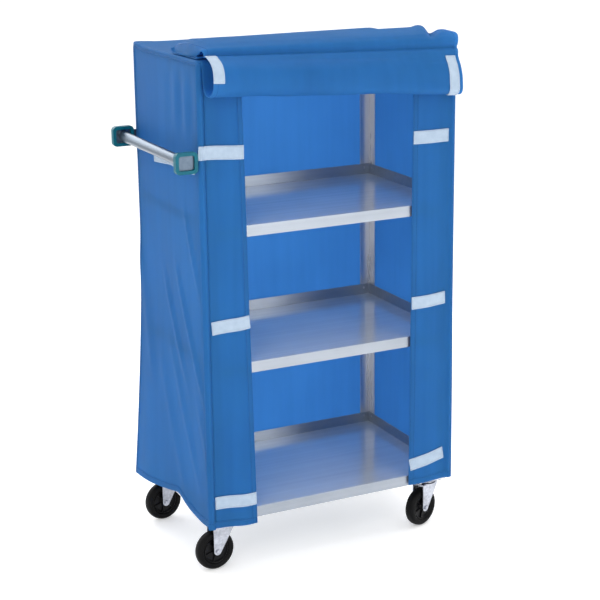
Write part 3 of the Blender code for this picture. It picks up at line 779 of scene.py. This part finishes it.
def add_cover_trim(wall, cloth, tape, blue_thread, white_thread):
    """Hem, doorway bindings, corner seams, closure tapes and all their stitching."""
    along, down = wall.along[-1], wall.down[-1]
    trim, stitches, white_stitches = [], [], []

    def add_band(name, line, width, lift=0.0013, thickness=0.0010):
        trim.append(ribbon(name, wall, line, width, cloth, lift, thickness, slot="cover_cloth"))

    hem_line = [(a, down - HEM_WIDTH / 2) for a in np.linspace(0.001, along - 0.001, 200)]
    add_band("hem_band", hem_line, HEM_WIDTH)
    hem_stitch = down - HEM_WIDTH + 0.003
    stitches.append(stitch_row(wall, [(0.004, hem_stitch), (along - 0.004, hem_stitch)], 0.0021))
    for name, edge, inward in (("left", 0.0, 1), ("right", along, -1)):
        middle = edge + inward * 0.0095
        add_band(f"doorway_binding_{name}", [(middle, 0.004), (middle, down - 0.001)], 0.018)
        for inset in (0.0035, 0.0155):
            place = edge + inward * inset
            stitches.append(stitch_row(wall, [(place, 0.02), (place, down - 0.004)], 0.0021))
    for corner in ("front_left", "rear_left", "rear_right", "front_right"):
        x = -COVER_X if "left" in corner else COVER_X
        y = (COVER_Y - COVER_CORNER) * (-1 if "front" in corner else 1)
        place = side_place(wall, x, y)
        add_band(f"seam_{corner}", [(place, 0.006), (place, down - 0.002)], 0.009, 0.0012, 0.0009)
        for beside in (place - 0.0030, place + 0.0030):
            stitches.append(stitch_row(wall, [(beside, 0.012), (beside, down - 0.004)], 0.0018))
    add_closure_tapes(wall, tape, trim, white_stitches)
    thread_piece = new_piece("cover_stitching", *joined(stitches), blue_thread, slot="cover_cloth")
    tape_piece = new_piece("tape_stitching", *joined(white_stitches), white_thread, slot="white_tape")
    return [*trim, thread_piece, tape_piece]


TAPE_WIDTH, SLIT_TAPE_WIDTH, STRAP_WIDTH = 0.040, 0.032, 0.035
TAPE_THICKNESS = 0.0014
TAPE_ENDS = {        # how far short of the corner seam the tape stops, its height there and at the doorway
    "left_upper": (0.008, 1.300, 1.292), "left_middle": (0.025, 0.779, 0.786),
    "left_lower": (0.021, 0.231, 0.224), "right_upper": (0.021, 1.282, 1.283),
    "right_middle": (0.028, 0.770, 0.765), "right_lower": (0.028, 0.252, 0.229),
}


def add_closure_tapes(wall, tape, trim, stitches):
    """White hook-and-loop tapes across the front flaps, and the one below the push handle."""
    def add_tape(name, places, width, lift, node):
        line = [(a, wall.down_at(a, z)) for a, z in places]
        trim.append(ribbon(name, wall, line, width, tape, lift, TAPE_THICKNESS, slot="white_tape", node=node))
        stitches.append(box_stitch(wall, line, width))

    corners = {"left": side_place(wall, -COVER_X, -COVER_Y + COVER_CORNER),
               "right": side_place(wall, COVER_X, -COVER_Y + COVER_CORNER)}
    for name, (inset, corner_z, door_z) in TAPE_ENDS.items():
        side = name.split("_")[0]
        inward, door = (-1, 0.002) if side == "left" else (1, wall.along[-1] - 0.002)
        ends = (corners[side] + inward * inset, corner_z), (door, door_z)
        add_tape(f"closure_tape_{name}", ends, TAPE_WIDTH, 0.0030, f"closure_strip_{name}")
    low, high = node_box("handle_slit_strip")
    strip_z = (low.z + high.z) / 2
    ends = ((side_place(wall, -COVER_X, high.y), strip_z - 0.003),
            (side_place(wall, -COVER_X, -0.216), strip_z + 0.011))
    add_tape("handle_slit_tape", ends, SLIT_TAPE_WIDTH, 0.0028, "handle_slit_strip")


def box_stitch(surface, line, width):
    """Stitching all round a tape, a little in from its edge."""
    (a0, d0), (a1, d1) = line
    inset = 0.0035 * np.sign(a1 - a0)
    half = width / 2 - 0.0035
    return stitch_loop(surface, [(a0 + inset, d0 - half), (a1 - inset, d1 - half), (a1 - inset, d1 + half),
                                 (a0 + inset, d0 + half)], 0.0044)


# ---- Cover: the top -----------------------------------------------------------------------------
SKIRT = 0.012                        # how far the roof turns down over the body
SEAM_BEND = 0.0035                   # radius of the turn


def roof_outline():
    """Plan line of the roof's edge, and the direction out of it at each point."""
    r = COVER_CORNER + 0.0015
    x, y = COVER_X + 0.0010 - r, COVER_Y + 0.0010 - r
    centres = ((x, y, 0), (-x, y, 90), (-x, -y, 180), (x, -y, 270))
    corners = [plan_arc(cx, cy, r, start, 90, 7) for cx, cy, start in centres]
    loop = evenly(np.vstack([*corners, corners[0][:1]]), 0.011)[::-1]
    run = unit(np.roll(loop[:-1], -1, 0) - np.roll(loop[:-1], 1, 0))
    run = np.vstack([run, run[:1]])
    return loop, np.stack([-run[:, 1], run[:, 0]], axis=1)


def add_cover_top(cloth, blue_thread):
    """The roof sheet: laid on the deck, turned down over the body all round, with a corded seam."""
    loop, outward = roof_outline()
    edge_height = roof_height(*loop.T)
    rings, reach = [], []
    for share in (0.0005, *np.linspace(0.1, 0.9, 12), 0.94, 0.97, 0.985):
        x, y = loop.T * share
        ripple = 0.0016 * waver(x * 6, y * 6, 4.4) * (1 - share**6)
        rings.append(np.column_stack([x, y, roof_height(x, y) + ripple]))
        reach.append(share * COVER_Y)
    for swing in np.radians((30, 60, 90)):
        plan = loop - outward * SEAM_BEND * (1 - math.sin(swing))
        rings.append(np.column_stack([plan, edge_height - SEAM_BEND * (1 - math.cos(swing))]))
        reach.append(reach[-1] + SEAM_BEND * 0.52)
    for drop in (0.005, 0.009, SKIRT):
        plan = loop + outward * 0.0012 * drop / SKIRT
        rings.append(np.column_stack([plan, edge_height - SEAM_BEND - drop]))
        reach.append(reach[-1] + 0.004)
    points = np.stack(rings, axis=1)
    roof = Surface(points, arc_lengths(loop), np.array(reach))
    roof.normals[0] = roof.normals[-1]
    top = cloth_slab("cover_top", roof, CLOTH, cloth, slot="cover_cloth", node="cover_top_panel")
    row = stitch_row(roof, [(0.0, reach[-1] - 0.004), (roof.along[-1], reach[-1] - 0.004)], 0.0009)
    stitching = new_piece("top_stitching", *row, blue_thread, slot="cover_cloth")
    cord = points[:-1, -4] + np.array([0, 0, -0.001])
    cord[:, :2] += outward[:-1] * 0.0005
    piping = new_piece("top_piping", *tube(cord, 0.0015, 8, closed=True), cloth, slot="cover_cloth")
    return top, [stitching, piping]


# ---- Cover: the front flap, thrown up over the top ----------------------------------------------
FLAP_SPAN = 0.84                     # how far places across the flap are counted, end to end
ROLL_SAG, ROLL_TOP_SAG = 0.045, 0.010    # lower at the right end: the hanging bulge, the fold on top
BULGE_OUTLINE = (                    # (Y, Z) from the seam at the cover's front edge round to the crease
    (-0.2640, 1.5555), (-0.2668, 1.530), (-0.2690, 1.500), (-0.2740, 1.477), (-0.2900, 1.4625),
    (-0.3125, 1.4645), (-0.3325, 1.4820), (-0.3400, 1.5100), (-0.3345, 1.5370), (-0.3165, 1.5560),
    (-0.2930, 1.5670), (-0.2770, 1.5750))
BULGE_RIGHT = (                      # the same line at the right end, where the cloth hangs flatter
    (-0.2640, 1.5555), (-0.2668, 1.530), (-0.2690, 1.500), (-0.2715, 1.470), (-0.2850, 1.4590),
    (-0.3060, 1.4600), (-0.3180, 1.4740), (-0.3165, 1.4990), (-0.3090, 1.5240), (-0.2990, 1.5470),
    (-0.2880, 1.5640), (-0.2770, 1.5750))
CREST_OUTLINE = (                    # over the top of the fold and down behind it
    (-0.2580, 1.5890), (-0.2240, 1.6010), (-0.1500, 1.6060), (-0.0900, 1.6000), (-0.0590, 1.5870),
    (-0.0570, 1.5720))
FOLD_PASSES = 5                      # the rest lies in zigzag layers inside the fold
FIRST_LAYER, LAYER_STEP = 0.0045, 0.0056
STRAPS = {           # how far across the flap, and how far before the bulge's end it starts and stops
    "left": (0.01637, 0.004, 0.103), "right": (0.81033, 0.020, 0.168)}


def flap_outline(bulge):
    """The folded flap's whole section, from its sewn edge to its free edge."""
    points = [*bulge, *CREST_OUTLINE]
    for layer in range(FOLD_PASSES):
        height = ROOF_Z + FIRST_LAYER + LAYER_STEP * layer
        rear, front = -0.066 - 0.006 * layer, -0.234 + 0.0035 * layer
        ends = (rear, front) if layer % 2 == 0 else (front, rear)
        inward = 0.004 * np.sign(ends[1] - ends[0])
        points += [(ends[0] + 2 * inward, height), ((ends[0] + ends[1]) / 2, height + 0.0008),
                   (ends[1] - 2 * inward, height)]
        if layer < FOLD_PASSES - 1:
            points.append((ends[1] + inward * 0.4, height + LAYER_STEP / 2))
    return smooth_curve(points, 10)


def sagged(y, z, share):
    """Lower a point of the section towards the right end, more in front of the cover than on top."""
    in_front = np.clip((-0.248 - y) / 0.047, 0, 1)
    raised = np.clip((z - 1.566) / 0.042, 0, 1)
    return z - share * (ROLL_SAG * in_front + ROLL_TOP_SAG * raised * (1 - in_front))


def flap_surface():
    """The thrown-up flap as a surface: across its width, and from its sewn edge to its free edge."""
    shapes = [flap_outline(bulge) for bulge in (BULGE_OUTLINE, BULGE_RIGHT)]
    length = arc_lengths(shapes[0])
    travel = np.linspace(0, length[-1], int(length[-1] / 0.0034))
    near, far = (np.stack([np.interp(travel, length, axis) for axis in shape.T], axis=1) for shape in shapes)
    bulge_end = arc_lengths(smooth_curve(BULGE_OUTLINE, 10))[-1]
    crest_end = bulge_end + arc_lengths(smooth_curve([BULGE_OUTLINE[-1], *CREST_OUTLINE], 10))[-1]
    left = np.interp(travel, [0, 0.12, bulge_end, bulge_end + 0.14, crest_end, travel[-1]],
                     [-0.408, -0.405, -0.402, -0.412, -0.414, -0.392])
    right = np.interp(travel, [0, 0.10, bulge_end - 0.02, bulge_end + 0.03, bulge_end + 0.10,
                               crest_end, travel[-1]],
                      [0.410, 0.414, 0.412, 0.430, 0.392, 0.384, 0.412])
    ends = np.array([0, 0.004, 0.008, 0.013, 0.020])
    share = np.concatenate([ends, np.linspace(0.03, 0.97, 86), 1 - ends[::-1]])
    X = left + share[:, None] * (right - left)
    flatter = smoothstep(share, 0.25, 1.0)[:, None, None]
    Y, Z = np.moveaxis(near * (1 - flatter) + far * flatter, -1, 0)

    # The end of the top layer is creased on the slant: a valley with a raised edge either side of it
    slant = 0.898 * X - 0.440 * Y
    to_right = smoothstep(X, 0.25, 0.30)
    on_crest = window(travel, bulge_end, bulge_end + 0.10, crest_end - 0.05, crest_end)
    raised = 0.0045 * bell(slant, 0.388, 0.016)
    raised = raised + 0.0100 * bell(slant, 0.453, 0.010) * smoothstep(-Y, 0.20, 0.25)
    valley = bell(slant, 0.4185, np.where(slant < 0.4185, 0.011, 0.018)) * to_right

    # Soft waves on top, and layers pressed flat towards the left end and in the valley
    stack = smoothstep(travel, crest_end - 0.02, crest_end)
    top_wave = 0.0012 * waver(X * 7.0, Y * 11.0, 5.0) + 0.0007 * waver(X * 19.0, Y * 16.0, 2.0)
    on_top = smoothstep(travel, bulge_end - 0.01, bulge_end + 0.06)
    Z = sagged(Y, Z, share[:, None]) + on_crest * to_right * raised
    Z = Z + on_top * top_wave * (1 - 0.6 * stack) * (1 - 0.7 * smoothstep(X, 0.0, 0.2))
    pressed = np.maximum(0.25 * (1 - smoothstep(X, -0.40, -0.37)), 0.52 * valley)
    turned_down = 0.90 * (1 - smoothstep(X, -0.409, -0.396)) * (1 - stack)
    Z = Z - np.maximum(Z - ROOF_Z - 0.003, 0) * on_top * np.maximum(pressed, turned_down)
    surface = Surface(np.stack([X, Y, Z], axis=-1), share * FLAP_SPAN, travel)

    # The hanging bulge is puffed out unevenly, and a crease line parts it from the top
    hanging = window(travel, 0.05, 0.10, bulge_end - 0.03, bulge_end)
    puff = (0.0030 * waver(X * 3.5, travel * 9.0, 6.6) + 0.0018 * waver(X * 9.0, travel * 22.0, 1.2)
            + 0.0022 * np.sin(travel * 55.0 + X * 5.0) * smoothstep(X, 0.0, 0.4))
    crease = (0.0050 * bell(travel, bulge_end + 0.021, 0.011)
              - 0.0085 * bell(travel, bulge_end + 0.003, 0.0055))
    surface.points = surface.points + surface.normals * (hanging * puff + crease)[..., None]
    surface.normals = grid_normals(surface.points)
    return surface, bulge_end


def add_flap_bundle(cloth, tape, blue_thread, white_thread):
    """The folded flap, hemmed at both ends, and the two white straps over its hanging bulge."""
    surface, bulge_end = flap_surface()
    edge = np.minimum(surface.along, surface.along[-1] - surface.along)
    thickness = np.where(edge < 0.012, 0.0022, 0.0010)[:, None]
    bundle = cloth_slab("front_flap_bundle", surface, thickness, cloth, slot="cover_cloth")
    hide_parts("front_flap_rolled", "front_flap_fold")
    hems = [stitch_row(surface, [(place, 0.10), (place, bulge_end + 0.24)], 0.0011)
            for place in (0.014, surface.along[-1] - 0.014)]
    pieces = [new_piece("flap_stitching", *joined(hems), blue_thread, slot="cover_cloth")]
    white = []
    for name, (place, above, below) in STRAPS.items():
        top, bottom = bulge_end - above, bulge_end - below
        pieces.append(ribbon(f"roll_tape_{name}", surface, [(place, top), (place, bottom)], STRAP_WIDTH, tape,
                             0.0022, TAPE_THICKNESS, slot="white_tape", node=f"roll_strap_{name}"))
        left, right = place - 0.0140, place + 0.0140
        top, bottom = top - 0.004, bottom + 0.004
        box = [(left, top), (left, bottom), (right, bottom), (right, top)]
        white.append(stitch_loop(surface, box, 0.0034))
    pieces.append(new_piece("strap_stitching", *joined(white), white_thread, slot="white_tape"))
    return bundle, surface, pieces


# ---- Frame, handle and casters ------------------------------------------------------------------
BODY_OF = {node: body for body, nodes in frame["record"]["behaviour"]["bodies"].items() for node in nodes}
JOINTS = {joint["name"]: joint for joint in frame["joints"]}


def bake_weighted_normals(obj):
    """Keep flat faces looking flat beside their rounded edges."""
    obj.modifiers.new("normals", "WEIGHTED_NORMAL").keep_sharp = True
    shaded = bpy.data.meshes.new_from_object(obj.evaluated_get(bpy.context.evaluated_depsgraph_get()))
    plain = obj.data
    obj.modifiers.clear()
    obj.data = shaded
    bpy.data.meshes.remove(plain)


def rounded_copy(node, width, mats, corner=28):
    """The CAD node's own form with its edges rounded over; a second material, a brighter copy that paints light
    on, goes on faces that look up.
    """
    source = NODES[node]
    bm = bmesh.new()
    bm.from_mesh(source.data)
    bm.transform(source.matrix_world)
    bmesh.ops.remove_doubles(bm, verts=bm.verts, dist=2e-6)
    bmesh.ops.dissolve_limit(bm, angle_limit=math.radians(1), verts=bm.verts, edges=bm.edges)
    edges = [edge for edge in bm.edges if edge.is_manifold and edge.calc_face_angle(0) > math.radians(corner)]
    if width:
        bmesh.ops.bevel(bm, geom=edges, offset=width, offset_type="OFFSET", segments=2, profile=0.5,
                        affect="EDGES", clamp_overlap=True)
    # Painted light: faces that look up take the brighter, lit copy of the metal.
    if len(mats) > 1:
        for face in bm.faces:
            face.material_index = int(face.normal.z > 0.9)
    name = f"{node}_form"
    mesh = finished_mesh(name, bm)
    mesh.shade_smooth()
    mesh.set_sharp_from_angle(angle=math.radians(50))
    for mat in mats:
        mesh.materials.append(mat)
    obj = new_object(name, mesh)
    bake_weighted_normals(obj)
    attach(obj, BODY_OF[node])
    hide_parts(node)


def turned(profile, centre, axis, segments, capped=False):
    """A (radius, offset) outline turned about an axis: a ring, or a solid with both ends capped."""
    profile = np.asarray(profile, float)
    radius, offset = profile.T
    area = np.sum(radius * np.roll(offset, -1) - np.roll(radius, -1) * offset)
    if (offset[-1] < offset[0]) if capped else (area < 0):
        profile = profile[::-1]
        radius, offset = profile.T
    turn = np.arange(segments) * 2 * math.pi / segments
    rings = np.stack([radius[:, None] * np.cos(turn), radius[:, None] * np.sin(turn),
                      np.repeat(offset[:, None], segments, axis=1)], axis=-1)
    rotation = np.array(Vector(axis).to_track_quat("Z", "Y").to_matrix())
    vertices = rings.reshape(-1, 3) @ rotation.T + np.array(centre)
    return vertices, ring_faces(len(profile), segments, not capped)


def mirrored(half_profile):
    """A (radius, offset) outline carried on to the other side of the wheel."""
    return [*half_profile, *[(radius, -offset) for radius, offset in half_profile[::-1]]]


def hexagon_head(centre, axis, radius, height):
    outline = [(radius * 0.86, height), (radius, height * 0.80), (radius, 0)]
    return turned(outline, centre, axis, 6, capped=True)


def dome_head(centre, axis, radius=0.0042, height=0.0016):
    rise = np.radians((0, 25, 45, 65, 80))
    outline = np.stack([radius * np.cos(rise), height * np.sin(rise)], axis=1)
    return turned(outline, centre, axis, 16, capped=True)


def place_of(joint):
    return Vector(joint["pos_m"]) - CENTRE


def half_height(node):
    low, high = node_box(node)
    return (high.z - low.z) / 2


WHEEL_HALF = 0.016                   # half the tyre's width
HUB_HALF = 0.019                     # half the hub's length, between the fork legs
FORK_FACE = 0.0233                   # outside of a fork leg from the middle of the wheel
PIN_RADIUS = 0.0043


def add_tyre(corner, centre, axis, seat, rubber):
    """Solid rubber tyre with a fine groove round each side."""
    outer, side = half_height(f"wheel_tyre_{corner}"), -WHEEL_HALF
    outline = mirrored([(seat + 0.0003, side + 0.0040), (seat + 0.0020, side + 0.0015),
                        (seat + 0.0050, side), (outer - 0.0135, side), (outer - 0.0128, side + 0.0007),
                        (outer - 0.0116, side + 0.0007), (outer - 0.0109, side),
                        (outer - 0.0080, side + 0.0002), (outer - 0.0045, side + 0.0018),
                        (outer - 0.0018, side + 0.0050), (outer - 0.0005, side + 0.0090),
                        (outer, side + 0.0130)])
    new_piece(f"tyre_{corner}", *turned(outline, centre, axis, 96), rubber, body=f"wheel_{corner}",
              slot="tyre_rubber", node=f"wheel_tyre_{corner}", sharp=38)


def add_wheel_centre(corner, centre, axis, seat, plastic):
    """Dished black centre with six low spokes on each side."""
    web, rim = 0.0075, -WHEEL_HALF
    core = mirrored([(PIN_RADIUS, -HUB_HALF), (0.0095, -HUB_HALF), (0.0112, -HUB_HALF + 0.0015),
                     (0.0125, -web - 0.0030), (0.0150, -web), (seat - 0.0075, -web),
                     (seat - 0.0050, -web - 0.0020), (seat - 0.0038, rim + 0.0030),
                     (seat - 0.0015, rim + 0.0022), (seat, rim + 0.0042)])
    parts = [turned(core, centre, axis, 72)]
    turn = Vector(axis).to_track_quat("Z", "Y").to_matrix()
    block = [[0, 1, 3, 2], [4, 6, 7, 5], [0, 4, 5, 1], [2, 3, 7, 6], [0, 2, 6, 4], [1, 5, 7, 3]]
    for side in (-1, 1):
        for spoke in range(6):
            run = math.radians(60 * spoke + 15 * side)
            along = turn @ Vector((math.cos(run), math.sin(run), 0))
            across = turn @ Vector((-math.sin(run), math.cos(run), 0))
            corners = [centre + along * radius + across * offset + axis * side * (web + depth)
                       for radius, rise in ((0.0115, 0.0050), (seat - 0.0045, 0.0042))
                       for depth in (-0.0008, rise) for offset in (-0.0014, 0.0014)]
            parts.append((np.array(corners), block if side > 0 else [face[::-1] for face in block]))
    new_piece(f"wheel_centre_{corner}", *joined(parts), plastic, body=f"wheel_{corner}",
              slot="wheel_plastic", node=f"wheel_core_{corner}", sharp=35)


def add_axle_bolt(corner, centre, axis, zinc):
    """The pin through the fork, with a washer and a hexagon head on each side."""
    pin = PIN_RADIUS - 0.0003
    bolt = [turned([(pin, -FORK_FACE), (pin, FORK_FACE)], centre, axis, 24, capped=True)]
    for outwards in (-axis, axis):
        washer = [(pin, 0), (0.0074, 0), (0.0074, 0.0010), (pin, 0.0010)]
        bolt.append(turned(washer, centre + outwards * FORK_FACE, outwards, 28))
        bolt.append(hexagon_head(centre + outwards * (FORK_FACE + 0.0010), outwards, 0.0068, 0.0038))
    new_piece(f"axle_bolt_{corner}", *joined(bolt), zinc, body=f"swivel_{corner}", slot="zinc_steel",
              node=f"caster_axle_{corner}", sharp=30)


def add_wheel(corner, materials):
    joint = JOINTS[f"roll_{corner}"]
    centre, axis = place_of(joint), Vector(joint["axis"])
    seat = half_height(f"wheel_core_{corner}")
    add_tyre(corner, centre, axis, seat, materials["rubber"])
    add_wheel_centre(corner, centre, axis, seat, materials["plastic"])
    add_axle_bolt(corner, centre, axis, materials["zinc"])


def add_caster_top(corner, materials):
    """Ball race and the bolts of the top plate."""
    centre = place_of(JOINTS[f"swivel_{corner}"])
    low, high = node_box(f"caster_race_{corner}")
    radius, floor, roof = (high.x - low.x) / 2, low.z, high.z
    race = [(0.0066, floor), (radius - 0.0065, floor), (radius - 0.0020, floor + 0.0010),
            (radius, floor + 0.0030), (radius - 0.0006, floor + 0.0048), (radius - 0.0035, roof - 0.0012),
            (radius - 0.0065, roof), (0.0066, roof)]
    shape = turned(race, Vector((centre.x, centre.y, 0)), (0, 0, 1), 72)
    new_piece(f"ball_race_{corner}", *shape, materials["zinc"], slot="zinc_steel",
              node=f"caster_race_{corner}", sharp=35)
    plate_underside = node_box(f"caster_plate_{corner}")[0].z - 0.0001
    washer = [(0.003, 0), (0.0068, 0), (0.0068, 0.0009), (0.003, 0.0009)]
    bolts = []
    for sx in (-1, 1):
        for sy in (-1, 1):
            spot = Vector((centre.x + sx * 0.036, centre.y + sy * 0.025, plate_underside))
            bolts.append(turned(washer, spot, (0, 0, -1), 24))
            bolts.append(hexagon_head(spot - Vector((0, 0, 0.0009)), (0, 0, -1), 0.0058, 0.0034))
    new_piece(f"plate_bolts_{corner}", *joined(bolts), materials["zinc"], slot="zinc_steel", sharp=30)


def add_push_bar(materials):
    """The round bar, with a weld bead round each end."""
    size, middle = HANDLE_HIGH - HANDLE_LOW, (HANDLE_LOW + HANDLE_HIGH) / 2
    radius, reach = size.x / 2, size.y / 2
    outline = [(radius - 0.0015, -reach), (radius - 0.0004, -reach), (radius, -reach + 0.0004),
               (radius, reach - 0.0004), (radius - 0.0004, reach), (radius - 0.0015, reach)]
    parts = [turned(outline, middle, (0, 1, 0), 64)]
    turn = np.linspace(0, 2 * math.pi, 49)[:-1]
    bead = np.stack([(radius + 0.0006) * np.cos(turn), 0 * turn, (radius + 0.0006) * np.sin(turn)], axis=1)
    for end in (-1, 1):
        place = middle + Vector((0, end * (reach - 0.0012), 0))
        parts.append(tube(bead + np.array(place), 0.0016, 8, closed=True))
    new_piece("push_bar", *joined(parts), materials["bar"], slot="handle_steel", node="handle_bar", sharp=40)


def add_shelf_rivets(materials):
    """Two rivets at each rear corner and one at each front corner hold every tray to its posts."""
    heads = []
    for level in ("bottom", "middle", "upper"):
        low, high = node_box(f"shelf_{level}")
        z = high.z - 0.013
        for sx in (-1, 1):
            inner = low.x if sx < 0 else high.x
            for sy in (-1, 1):
                heads.append(dome_head((inner - sx * 0.0015, sy * (HALF_D - 0.022), z), (-sx, 0, 0)))
            heads.append(dome_head((sx * (HALF_W - 0.024), high.y - 0.0015, z), (0, -1, 0)))
    new_piece("shelf_rivets", *joined(heads), materials["zinc"], slot="stainless_steel", sharp=45)


def add_frame(materials):
    for corner in CORNERS:
        rounded_copy(f"post_{corner}", 0, [materials["upright"]])
        rounded_copy(f"caster_plate_{corner}", 0.0007, [materials["zinc"]])
        rounded_copy(f"caster_fork_{corner}", 0.0006, [materials["zinc"]], corner=40)
        add_wheel(corner, materials)
        add_caster_top(corner, materials)
    for level in ("bottom", "middle", "upper"):
        # The shelves' upward faces get the lit copy of the stainless: painted light.
        rounded_copy(f"shelf_{level}", 0.0006, [materials["shelf"], materials["deck"]])
    rounded_copy("top_deck", 0.0006, [materials["shelf"]])
    for side in ("left", "right"):
        rounded_copy(f"caster_channel_{side}", 0.0008, [materials["upright"]])
    for end in ("front", "rear"):
        rounded_copy(f"handle_bracket_{end}", 0.0006, [materials["bar"]])
        rounded_copy(f"bracket_bumper_{end}", 0, [materials["teal"]])
    add_push_bar(materials)
    add_shelf_rivets(materials)


def finish_kingpins(material):
    """The kingpins are the only CAD nodes that stay as they are."""
    for corner in CORNERS:
        slots = NODES[f"caster_kingpin_{corner}"].data.materials
        slots.clear()
        slots.append(material)


def make_materials():
    along_x, along_y, upright = (0.02, 1, 1), (1, 0.03, 1), (1, 1, 0.02)     # which way the brushing runs
    return {
        "shelf": brushed_metal("brushed_stainless", (0.31, 0.345, 0.39), (0.41, 0.445, 0.50), 0.36, along_x),
        # painted light: a brighter, whiter copy of the stainless for the shelves' upward faces
        "deck": brushed_metal("shelf_top_painted_light_stainless", (0.80, 0.82, 0.82), (0.92, 0.94, 0.94), 0.17, along_x,
                              metallic=0.50),
        "upright": brushed_metal("post_stainless", (0.54, 0.55, 0.58), (0.70, 0.71, 0.74), 0.30, upright),
        "bar": brushed_metal("handle_stainless", (0.07, 0.10, 0.14), (0.13, 0.17, 0.22), 0.34, along_y),
        "zinc": zinc_metal(), "rubber": tyre_rubber(), "plastic": wheel_plastic(), "teal": teal_vinyl(),
        "cloth": cover_cloth(), "tape": white_tape(),
        "blue_thread": thread("blue_thread", (0.020, 0.095, 0.34), (0.040, 0.15, 0.44)),
        "white_thread": thread("white_thread", (0.44, 0.53, 0.64), (0.56, 0.64, 0.74)),
    }


def add_cover(materials):
    cloth, tape = materials["cloth"], materials["tape"]
    threads = materials["blue_thread"], materials["white_thread"]
    wall = hung_wall()
    body = add_cover_body(wall, cloth)
    trim = add_cover_trim(wall, cloth, tape, *threads)
    top, top_trim = add_cover_top(cloth, threads[0])
    bundle, surface, flap_trim = add_flap_bundle(cloth, tape, *threads)


add_camera()
add_studio()
materials = make_materials()
finish_kingpins(materials["zinc"])
add_frame(materials)
add_cover(materials)
